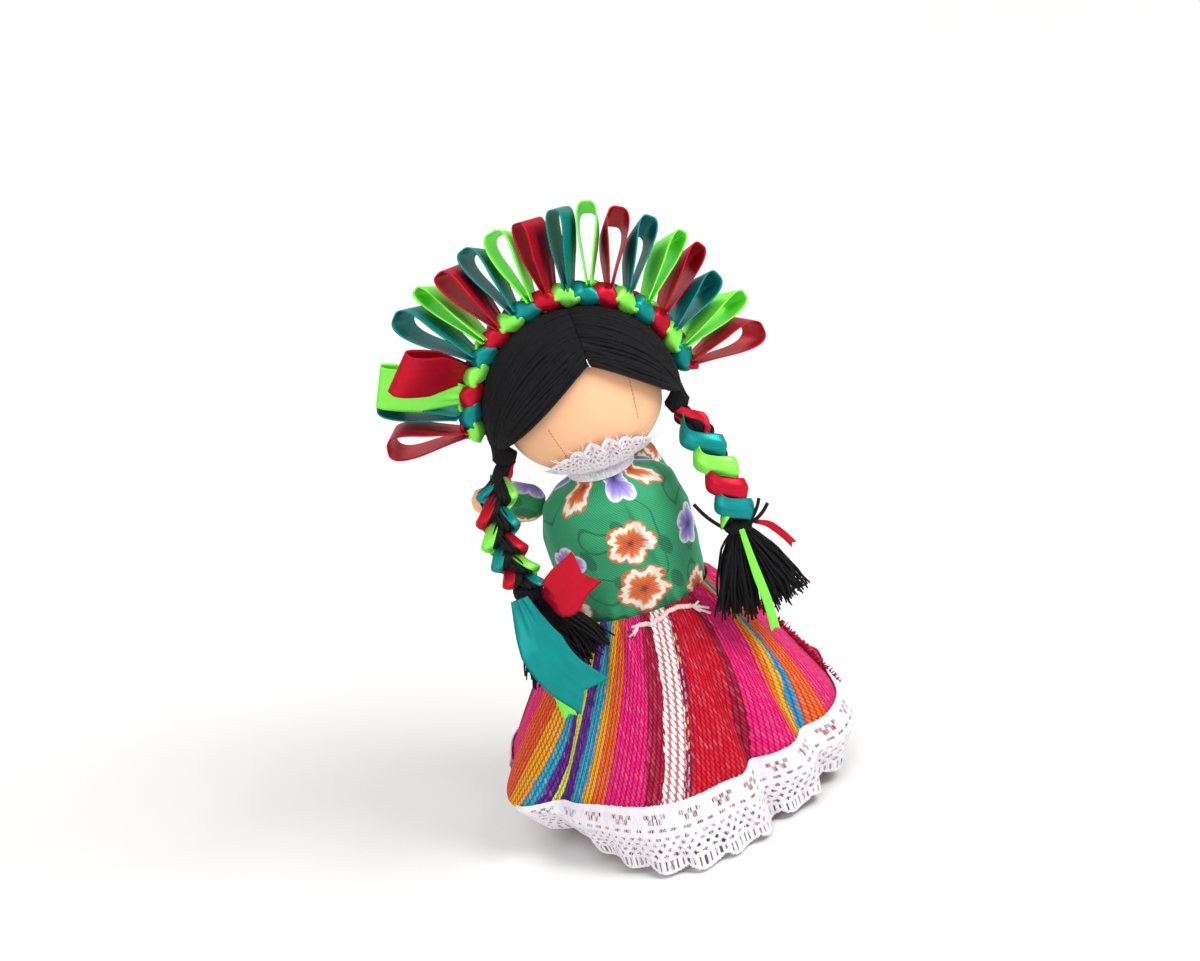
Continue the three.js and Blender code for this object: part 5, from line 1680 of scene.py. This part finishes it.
LOOP_ROOT = 2.2  # how far a loop's ends reach down between the crown's ribbons
LOOP_HELD = 0.52  # share of the ribbon's width where the crown holds it
LOOP_TIP = 1e-6
LOOP_SWAY = (-0.3, 0.3)
LOOP_SKEW = (-0.1, 0.1)
LOOP_CUP = (0.1, 0.28)
LOOP_CUP_LEVEL = 0.4
LOOP_PLEATS = 3
LOOP_PLEAT_DEPTH = 0.275
TEARDROP_POWER = 0.8
TEARDROP_SWELL = 1.25
PINCH_RUN = 1.9
FOOT_SAMPLES = (-1, -0.5, 0, 0.5, 1)

loop_step = LOOP_SPREAD * CROWN_SPAN / (len(LOOPS) - 1)
loop_stem = (RIBBON_THICKNESS + GAP) / 2


def rotate(v, axis, angle):
    return np.array(Matrix.Rotation(angle, 3, Vector(axis)) @ Vector(v))


def loop_foot_height(turn, opening, across):
    """Height above the arch at which a loop's foot clears every strand of the crown."""
    normal = arch_normal(np.array(turn))
    tangent = np.cross(BACK, normal)
    clear = crown_strand + GAP
    half_thick = loop_stem + RIBBON_THICKNESS / 2
    half_wide = LOOP_PINCH * RIBBON_WIDTH / 2
    height = 0.0
    for u in FOOT_SAMPLES:
        for v in FOOT_SAMPLES:
            spot = u * half_thick * opening + v * half_wide * across
            share = (turn + spot @ tangent / crown_radius) / CROWN_SPAN
            for order in range(len(RIBBONS)):
                sideways, ahead = strand_place(CROWN_SWAY, CROWN_LIFT, crown_turns, order, share)
                beside = min(clear, abs(spot @ BACK - sideways))
                height = max(height, ahead + math.sqrt(clear ** 2 - beside ** 2) - spot @ normal)
    return height


def make_loop(number, lean, twist, reach, fullness):
    shade = RIBBONS[number % len(RIBBONS)]
    node = f"loop_{number + 1:02d}_{shade}"
    turn = CROWN_SPAN * (1 - LOOP_SPREAD) / 2 + number * loop_step
    tilt = math.radians(lean)
    length = LOOP_LENGTH * reach
    normal = arch_normal(np.array(turn))
    outwards = math.cos(tilt) * normal + math.sin(tilt) * BACK
    opening = unit(rotate(np.cross(BACK, normal), outwards, math.radians(twist)))
    across = np.cross(outwards, opening)
    foot = arch_point(np.array(turn), loop_foot_height(turn, opening, across))
    foot_radius = crown_radius + crown_half_depth + GAP
    held = mix(LOOP_HELD, LOOP_PINCH, abs(math.sin(math.radians(twist))))
    sway = chance.uniform(*LOOP_SWAY)
    skew = chance.uniform(*LOOP_SKEW)
    cup = chance.uniform(*LOOP_CUP)

    def looped(u, v):
        spin = FULL * u
        aside = v - 0.5
        out = (1 - np.cos(spin)) / 2
        side_of = np.where(np.abs(u - 0.5) < LOOP_TIP, 0, np.sign(np.pi - spin))
        room = (loop_step * (foot_radius + out * length * math.cos(tilt)) - RIBBON_THICKNESS - GAP) / 2
        drop = TEARDROP_SWELL * (out * np.abs(np.sin(spin))) ** TEARDROP_POWER
        open_by = side_of * (loop_stem + fullness * (room - loop_stem) * drop) + sway * out * out
        line = foot + steps(mix(-LOOP_ROOT, length, out), outwards) + steps(open_by, opening)
        pinch = mix(held, 1, np.minimum(1, PINCH_RUN * out))
        turned_across = across + steps(skew * np.sin(spin), outwards)
        pleat = LOOP_PLEAT_DEPTH * (1 - pinch) * np.cos(LOOP_PLEATS * FULL * aside)
        bow = cup * (4 * aside * aside - LOOP_CUP_LEVEL) * np.sin(np.pi * out)
        face = steps(np.sign(np.pi - spin), opening)
        wide = aside * RIBBON_WIDTH * pinch
        return line + wide[:, None] * turned_across - (pleat + bow)[:, None] * face

    ribbon_length = LOOP_RIBBON * length
    piece = lay_cloth(f"{node}_ribbon", LOOP_GRID, looped, (ribbon_length, RIBBON_WIDTH), sewn=False)
    soften(piece, LOOP_SMOOTHINGS)
    thicken(piece, LOOP_SHELL)
    dress(piece, "body", f"satin_{shade}", node)
    declare_cloth((RIBBON_WIDTH, ribbon_length))


# Braids

BRAID_CLOSE = 0.94
BRAID_BOW = {"left": 3.4, "right": 0.3}  # how far a braid bows outwards
BRAID_BOW_POWER = 0.7
BRAID_HAND = {"left": 1, "right": -1}  # way round that its strands cross
BRAID_STRAND = {"left": 2.05, "right": 1.75}  # radius of a strand's yarn
BRAID_GATHER = 0.42  # size of a braid's top, drawn together below the hair, to its full size
BRAID_GATHER_RUN = 0.2
BRAID_ROOT = -0.06  # share of its length by which a braid begins inside the hair
BRAID_POINTS = 64
YARN_RADIUS = 0.48
YARNS_ROUND = 10
YARN_WIND = 0.8  # turns of a strand's yarn along the braid
YARN_UNEVEN = 0.05
YARN_UNEVEN_WAVES = 3
BRAID_RIBBON_GRID = (120, 16)
BRAID_RIBBON_LENGTH = 34
BRAID_RIBBON_SHELL = 0.26
BRAID_RIBBON_HALF = {"left": 1.6, "right": 2.25}
BRAID_RIBBON_OFF = 0.48
RIBBON_ROUND = {"left": 0.62, "right": 0.4}  # how much a ribbon falls away at its edges
RIBBON_SLANT = {"left": 0.0, "right": math.radians(48)}  # how far a ribbon's width leans from level
RIBBON_LEAD = {"left": math.radians(-10), "right": math.radians(10)}
RIBBON_SWING = math.radians(60)  # how far to either side the left braid's ribbons face
RIBBON_SWING_STEEPNESS = 3
RIBBON_WRINKLE = 0.06
RIBBON_WRINKLES = (6, 15)  # across a ribbon and along it
LOBE_SWELL = 1.1

braid_strand = plait_radius(BRAID_SWAY, BRAID_LIFT)
braid_turns = BRAID_LENGTH / BRAID_PITCH
braid_top_z = min(hair_root[2] - HAIR_ROOT_RADIUS, head_z - HAIR_NAPE_DROP) - GAP
braid_top = np.array([hair_root[0], hair_root[1], braid_top_z])
braid_foot_z = braid_top_z - BRAID_LENGTH
tie_foot_z = braid_foot_z - 2 * GAP - TIE_HEIGHT


def braid_foot_point():
    """Foot of the right braid, whose tassel clears the skirt's solid."""
    turn = math.radians(BRAID_TURN)
    beside = skirt_point(turn, tie_foot_z - TASSEL_LENGTH, GAP, as_solid=True)
    reach = math.hypot(TASSEL_HALF_WIDTH * math.sin(turn), TASSEL_HALF_DEPTH * math.cos(turn))
    foot = beside + (reach + CLOTH) * LOBE_SWELL * np.array([math.sin(turn), -math.cos(turn), 0])
    by_blouse = TORSO_WIDTH / 2 + blouse_outer + BRAID_SIDE_CLEARANCE + BRAID_SWAY + braid_strand
    return np.array([max(foot[0], by_blouse, hair_root[0]), foot[1], braid_foot_z])


braid_foot = braid_foot_point()


def braid_middle(side, share):
    sag = share * (2 - share)
    out, y, _ = mix(braid_top, braid_foot, sag[..., None]).T
    bow = BRAID_BOW[side] * np.sin(np.pi * np.clip(share, 0, 1) ** BRAID_BOW_POWER)
    return vec(SIDES[side] * (out + bow), y, mix(braid_top_z, braid_foot_z, share))


def braid_line(side, order, share, x, y):
    """Place on one strand of a braid, x and y off its middle in the plait's own width and depth."""
    facing = math.radians(BRAID_FACING[side])
    outside = on_side(side, LEVEL)
    wide = math.cos(facing) * outside + math.sin(facing) * FRONT
    deep = math.cos(facing) * FRONT - math.sin(facing) * outside
    across, ahead = strand_place(
        BRAID_SWAY * BRAID_CLOSE, BRAID_LIFT * BRAID_HAND[side], braid_turns, order, share
    )
    gathered = mix(BRAID_GATHER, 1, ease(share / BRAID_GATHER_RUN))
    beside = steps(gathered * (across + x), wide)
    return braid_middle(side, share) + beside + steps(gathered * (ahead + y), deep)


def ribbon_facing(side, phase):
    """Angle at which a strand's ribbon faces, from the plait's front towards its wide side."""
    if side == "right":
        return RIBBON_LEAD[side] + phase
    return RIBBON_LEAD[side] + RIBBON_SWING * np.tanh(RIBBON_SWING_STEEPNESS * np.sin(phase + np.pi / 4))


def make_braid_yarn(side, order):
    share = np.linspace(BRAID_ROOT, 1, BRAID_POINTS)
    paths = [braid_line(side, order, share, 0, 0)]
    for k in range(YARNS_ROUND):
        spin = FULL * (k / YARNS_ROUND + YARN_WIND * share)
        uneven = YARN_UNEVEN * np.sin(FULL * (YARN_UNEVEN_WAVES * share + chance.uniform(0, 1)))
        ring = (BRAID_STRAND[side] - YARN_RADIUS) * (1 + uneven)
        paths.append(braid_line(side, order, share, ring * np.sin(spin), ring * np.cos(spin)))
    hank = strands(f"braid_{side}_hank_{order + 1}", paths, YARN_RADIUS)
    dress(hank, f"braid_{side}", "yarn", f"braid_{side}_yarn_{order + 1}")


def make_braid_ribbon(side, order, shade):
    half = BRAID_RIBBON_HALF[side]
    slant = RIBBON_SLANT[side]

    def wrapped(u, v):
        faces = ribbon_facing(side, strand_phase(braid_turns, order, u))
        aside = 2 * v - 1
        wrinkle = RIBBON_WRINKLE * np.cos(RIBBON_WRINKLES[0] * aside + RIBBON_WRINKLES[1] * u)
        high = BRAID_STRAND[side] + BRAID_RIBBON_OFF - half * RIBBON_ROUND[side] * aside * aside + wrinkle
        level = half * aside * math.cos(slant)
        x = high * np.sin(faces) + level * np.cos(faces)
        y = high * np.cos(faces) - level * np.sin(faces)
        return braid_line(side, order, u, x, y) + steps(half * aside * math.sin(slant), UPRIGHT)

    flat = (BRAID_RIBBON_LENGTH, RIBBON_WIDTH)
    ribbon = lay_cloth(f"braid_{side}_{shade}_ribbon", BRAID_RIBBON_GRID, wrapped, flat, sewn=False)
    thicken(ribbon, BRAID_RIBBON_SHELL)
    dress(ribbon, f"braid_{side}", f"satin_{shade}", f"braid_{side}_{shade}")


def make_braid(side):
    for order, shade in enumerate(BRAID_COLOURS[side]):
        make_braid_yarn(side, order)
        make_braid_ribbon(side, order, shade)
    make_tie(side)
    make_tassel(side)
    for shade in TAILS[side]:
        make_tail(side, shade)


# Ties and tassels

TIE_WINDS = 5
TIE_WIND_POINTS = 16
TIE_WIND_RADIUS = 2.6
TIE_WIND_SWELL = 0.35
TIE_WIND_END = 0.45
TIE_YARN_RADIUS = 0.42
TIE_CORE_RADIUS = 2.4
TIE_CORE_ROUND = 3
TIE_CORE_END = 0.1
TIE_STRAY_POINTS = 12
TIE_STRAYS = {
    "left": (((0.4, -2.9, 2.2), (-0.6, -3.8, 0.4), (-1.6, -4.2, -2.4), (-2.0, -4.4, -5.0)),),
    "right": (
        ((1.2, -2.6, 2.4), (3.0, -3.2, 3.6), (4.6, -3.4, 5.8), (5.4, -3.2, 7.4)),
        ((1.6, -2.5, 2.0), (3.8, -3.0, 2.9), (5.6, -3.2, 4.2), (7.0, -3.0, 5.6)),
        ((-1.6, -2.4, 1.8), (-4.0, -2.0, 3.4), (-6.4, -0.8, 6.2), (-8.0, 0.6, 9.0)),
    ),
}  # points of the loose ends of yarn, from the tie's foot
TASSEL_STRANDS = 420
TASSEL_POINTS = 10
TASSEL_YARN_RADIUS = 0.28
TASSEL_THINNING = 0.25
TASSEL_FAN = {"left": (-16, 46), "right": (-28, 34)}  # degrees from straight down, towards the right
TASSEL_CLUMPS = 13
TASSEL_CLUMPING = (0.2, 0.75)
TASSEL_PARTING = {"left": 6, "right": 2}  # degrees at which the yarn parts in two bunches
TASSEL_PARTING_HALF = 2.4
TASSEL_PARTING_RUN = 9
TASSEL_LENGTHS = (0.82, 1.08)
TASSEL_SIDE_SHORTER = 0.1
TASSEL_DROOP = (1.15, 0.3)  # share of its fan that a strand starts with, and how much its foot loses
TASSEL_BEND = 0.7
TASSEL_END_BEND = 0.8
TASSEL_WAVE = 0.12
TASSEL_WAVE_ANGLE = 14
TASSEL_TOP_RADIUS = 1.7
TASSEL_TOP_FAN = 2.2
TASSEL_TOP_HALF_DEPTH = 0.9
TASSEL_INSET = 1.2
TASSEL_BULGE_RUN = 0.35
TASSEL_BULGE_LOSS = 0.25
TASSEL_TOP_Z = 0.4


def tie_place(side):
    return on_side(side, (braid_foot[0], braid_foot[1], tie_foot_z))


def make_tie(side):
    share = shares(TIE_WINDS * TIE_WIND_POINTS)
    spin = FULL * TIE_WINDS * share
    swell = TIE_WIND_RADIUS + TIE_WIND_SWELL * np.sin(np.pi * share)
    rise = mix(TIE_WIND_END, TIE_HEIGHT - TIE_WIND_END, share)
    paths = [oval(swell, swell, 0, GAP + rise, spin)]
    paths += [route(stray, shares(TIE_STRAY_POINTS)) for stray in TIE_STRAYS[side]]
    winding = strands(f"tie_{side}_wound", [path + tie_place(side) for path in paths], TIE_YARN_RADIUS)
    core = steps([GAP + TIE_CORE_END, GAP + TIE_HEIGHT - TIE_CORE_END], UPRIGHT) + tie_place(side)
    join(winding, strands(f"tie_{side}_core", [core], TIE_CORE_RADIUS, TIE_CORE_ROUND))
    dress(winding, f"braid_{side}", "yarn", f"tie_{side}")


def tassel_fan(side, place):
    """Angle of a strand at a share of the tassel's width: strands lie in clumps, and part in two bunches."""
    clump = (np.floor(place * TASSEL_CLUMPS) + 0.5) / TASSEL_CLUMPS
    fan = mix(*TASSEL_FAN[side], mix(place, clump, chance.uniform(*TASSEL_CLUMPING)))
    from_parting = fan - TASSEL_PARTING[side]
    apart = math.exp(-((from_parting / TASSEL_PARTING_RUN) ** 2))
    return math.radians(fan + TASSEL_PARTING_HALF * math.copysign(apart, from_parting))


def make_tassel(side):
    share = shares(TASSEL_POINTS)
    top_droop, droop_loss = TASSEL_DROOP
    bulge = ease(share / TASSEL_BULGE_RUN) * (1 - TASSEL_BULGE_LOSS * share)
    half_depth = TASSEL_TOP_HALF_DEPTH + (TASSEL_HALF_DEPTH - TASSEL_INSET) * bulge
    paths = []
    for k in range(TASSEL_STRANDS):
        angle = tassel_fan(side, (k + chance.uniform(0, 1)) / TASSEL_STRANDS)
        depth = chance.uniform(-1, 1)
        shorter = 1 - TASSEL_SIDE_SHORTER * abs(math.sin(angle))
        length = TASSEL_LENGTH * chance.uniform(*TASSEL_LENGTHS) * shorter
        droop = angle * (top_droop - droop_loss * share)
        bend = chance.normal(0, TASSEL_BEND) * np.sin(np.pi * share)
        end_bend = chance.normal(0, TASSEL_END_BEND) * share ** 3
        curl = bend + end_bend + TASSEL_WAVE * np.sin(TASSEL_WAVE_ANGLE * share + k)
        start = TASSEL_TOP_RADIUS * math.sqrt(chance.uniform(0, 1)) * math.sin(angle * TASSEL_TOP_FAN)
        x = start + length * share * np.sin(droop) + curl
        y = depth * half_depth + curl / 2
        z = GAP + TASSEL_TOP_Z - length * share * np.cos(droop)
        paths.append(vec(x, y, z) + tie_place(side))

    def thinning(along):
        return 1 - TASSEL_THINNING * along ** 3

    tassel = strands(f"tassel_{side}_yarn", paths, TASSEL_YARN_RADIUS, round_sides=0, thinning=thinning)
    dress(tassel, f"braid_{side}", "yarn", f"tassel_{side}")


# Tails of ribbon

TAIL_GRID = (60, 12)
TAIL_SHELL = 0.28
TAIL_PINCH = 0.5
TAIL_RUN = 2.5
TAIL_HOLD = 0.5
TAIL_STEP = 0.01
TAIL_MEASURES = 40
TAIL_PLEATS = 3
TAIL_PLEAT_DEPTH = 0.8
TAIL_BOW = 0.22
TASSEL_SPREAD = ((0, 0.12, 0.45, 0.85, 1), (0.34, 0.52, 0.84, 1, 0.9))  # drops, then shares of its depth
RED_TURN = 52
TEAL_TURN = -44
CURL_TURN = 60

tail_clear = GAP + RIBBON_THICKNESS / 2


def on_tie(turn):
    held = TIE_RADIUS + tail_clear
    return oval(held, held, 0, GAP + TAIL_HOLD * TIE_HEIGHT, math.radians(turn))


def flat_on_tie(turn):
    return np.array([math.cos(math.radians(turn)), math.sin(math.radians(turn)), 0])


def below_tie(x, y, z):
    return np.array([x, y, z]) * RIBBON_WIDTH


def over_tassel(x, off, drop):
    front = TASSEL_HALF_DEPTH * LOBE_SWELL * np.interp(min(1, drop), *TASSEL_SPREAD) + tail_clear
    return np.array([x * RIBBON_WIDTH, -front - off * RIBBON_WIDTH, -drop * TASSEL_LENGTH])


# Points along each tail, the direction of its width at both ends, its width as a share of the ribbon's,
# and the depth of the notch in its end as a share of its own width
TAILS = {
    "left": {
        "red": (
            (on_tie(RED_TURN), below_tie(0.5, -0.62, 0.08), below_tie(0.86, -0.74, 0.4),
             below_tie(1.32, -0.7, 0.62)),
            (UPRIGHT, np.array([-0.1, 0, 1])), 1.0, 0.16,
        ),
        "teal": (
            (on_tie(TEAL_TURN), over_tassel(-0.14, 0.22, 0.35), over_tassel(0.12, 0.34, 0.75),
             over_tassel(0.68, 0.44, 1.14)),
            (flat_on_tie(TEAL_TURN), np.array([1, 0, 0.4])), 1.0, 0.3,
        ),
        "lime": (
            (over_tassel(-0.04, 0.02, 0.04), over_tassel(-0.06, 0.02, 0.3), over_tassel(-0.04, 0.02, 0.9),
             over_tassel(0.06, 0.02, 1.4)),
            (LEVEL, LEVEL), 0.3, 0.4,
        ),
    },
    "right": {
        "lime": (
            (on_tie(0), over_tassel(0.06, 0, 0.4), over_tassel(0.13, 0, 0.8), over_tassel(0.14, 0, 1.16)),
            (LEVEL, LEVEL), 0.2, 0.5,
        ),
        "red": (
            (on_tie(CURL_TURN), below_tie(0.6, -0.34, 0.1), below_tie(0.84, -0.42, -0.2),
             below_tie(1.02, -0.36, -0.54)),
            (UPRIGHT, np.array([0.6, 0, 1])), 0.16, 0.5,
        ),
    },
}


def make_tail(side, shade):
    points, (first, last), wide, notch = TAILS[side][shade]
    width = RIBBON_WIDTH * wide
    runs = np.diff(route(points, shares(TAIL_MEASURES)), axis=0)
    length = float(np.sum(np.linalg.norm(runs, axis=1)))

    def line(share):
        return route(points, share) + tie_place(side)

    def laid(u, v):
        aside = v - 0.5
        share = u * (1 - notch * width / length * (1 - 2 * np.abs(aside)))
        spread = np.minimum(1, TAIL_RUN * share)
        along = unit(run_of(line, share, TAIL_STEP))
        across = square_to(along, mix(first, last, spread[:, None]))
        held = mix(TAIL_PINCH, 1, spread)
        pleat = TAIL_PLEAT_DEPTH * (1 - held) * np.cos(TAIL_PLEATS * FULL * aside)
        rise = wide * (pleat + TAIL_BOW * np.cos(FULL * aside) * spread)
        face = np.cross(along, across)
        return line(share) + (aside * width * held)[:, None] * across + rise[:, None] * face

    node = f"tail_{side}_{shade}"
    piece = lay_cloth(f"{node}_ribbon", TAIL_GRID, laid, (length, width), sewn=False)
    thicken(piece, TAIL_SHELL)
    dress(piece, f"braid_{side}", f"satin_{shade}", node)
    if wide >= 1:
        declare_cloth((RIBBON_WIDTH, length))


# Stage

VIEW_TURN = -4
VIEW_RISE = 23
VIEW_ROLL = -16.3
VIEW_DISTANCE = 580
VIEW_TARGET = (-1.03, 0, 76.13)
VIEW_ANGLE = 25.5
FLOOR_RADIUS = 6000
FLOOR_SIDES = 96
FLOOR_Z = -0.4
FLOOR_COLOURS = ("f4f3f2", "efeeed")
FLOOR_CLOUDS = 0.02
FLOOR_FADE = (160, 800)  # distances from the doll between which the floor fades to the white behind it
WHITE = (1, 1, 1, 1)
ROOM_LIGHT = 0.55  # strength at which the white room lights the doll
LIGHT_TARGET = (0, 0, 70)
LIGHTS = {
    "window_light": ((550, -350, 750), 500, 7.0),
    "fill_light": ((-700, -700, 500), 800, 3.0),
    "back_light": ((-100, 800, 700), 700, 3.0),
}  # place, width and power


def make_camera():
    turn, rise, roll = (math.radians(angle) for angle in (VIEW_TURN, VIEW_RISE, VIEW_ROLL))
    back = Vector((math.sin(turn) * math.cos(rise), -math.cos(turn) * math.cos(rise), math.sin(rise)))
    right = (-back).cross(Vector(UPRIGHT)).normalized()
    up = right.cross(-back)
    leaned_right = right * math.cos(roll) + up * math.sin(roll)
    leaned_up = up * math.cos(roll) - right * math.sin(roll)
    data = bpy.data.cameras.new("camera")
    data.sensor_fit = "HORIZONTAL"
    data.angle = math.radians(VIEW_ANGLE)
    camera = bpy.data.objects.new("camera", data)
    bpy.context.scene.collection.objects.link(camera)
    place = (Vector(VIEW_TARGET) + back * VIEW_DISTANCE) * MM
    turned_by = Matrix((leaned_right, leaned_up, back)).transposed().to_4x4()
    camera.matrix_world = Matrix.Translation(place) @ turned_by
    bpy.context.scene.camera = camera


def make_floor():
    deselect()
    bpy.ops.mesh.primitive_circle_add(
        vertices=FLOOR_SIDES, radius=FLOOR_RADIUS * MM, fill_type="NGON", location=(0, 0, FLOOR_Z * MM)
    )
    floor = bpy.context.object
    floor.name = "floor"
    finish = Finish("floor", roughness=0.9, specular=0.1)
    finish.paint(finish.cloud(finish.place(), FLOOR_CLOUDS), *FLOOR_COLOURS)
    away = finish.value("VectorMath", {0: finish.place()}, "Value", operation="LENGTH")
    lit = Shade(finish, finish.shader.outputs[0])
    white = finish.value("Emission", {"Color": WHITE, "Strength": 1.0})
    faded = finish.value("MixShader", {0: away.between(*FLOOR_FADE) * finish.seen(), 1: lit, 2: white})
    finish.feed(finish.tree.nodes["Material Output"].inputs["Surface"], faded)
    floor.data.materials.append(finish.material)


def make_light(name, place, width, power):
    data = bpy.data.lights.new(name, "AREA")
    data.shape = "DISK"
    data.size = width * MM
    data.energy = power
    light = bpy.data.objects.new(name, data)
    bpy.context.scene.collection.objects.link(light)
    light.location = Vector(place) * MM
    light.rotation_mode = "QUATERNION"
    light.rotation_quaternion = (Vector(LIGHT_TARGET) - Vector(place)).to_track_quat("-Z", "Y")


def make_room():
    world = bpy.data.worlds.new("studio")
    bpy.context.scene.world = world
    world.use_nodes = True
    room = Nodes(world.node_tree)
    background = room.tree.nodes["Background"]
    room.feed(background.inputs["Color"], WHITE)
    room.feed(background.inputs["Strength"], room.seen() * (1 - ROOM_LIGHT) + ROOM_LIGHT)
    bpy.context.scene.view_settings.view_transform = "Standard"


make_camera()
make_floor()
make_room()
for name, light in LIGHTS.items():
    make_light(name, *light)
make_torso()
make_head()
make_blouse()
make_skirt()
make_frayed_edge()
make_hem_lace()
make_waist_cord()
make_collar()
make_parting_stitch()
for order, shade in enumerate(RIBBONS):
    make_crown_ribbon(order, shade)
for number, loop in enumerate(LOOPS):
    make_loop(number, *loop)
for side in SIDES:
    make_hair(side)
    make_arm(side)
    make_leg(side)
    make_braid(side)

deselect()
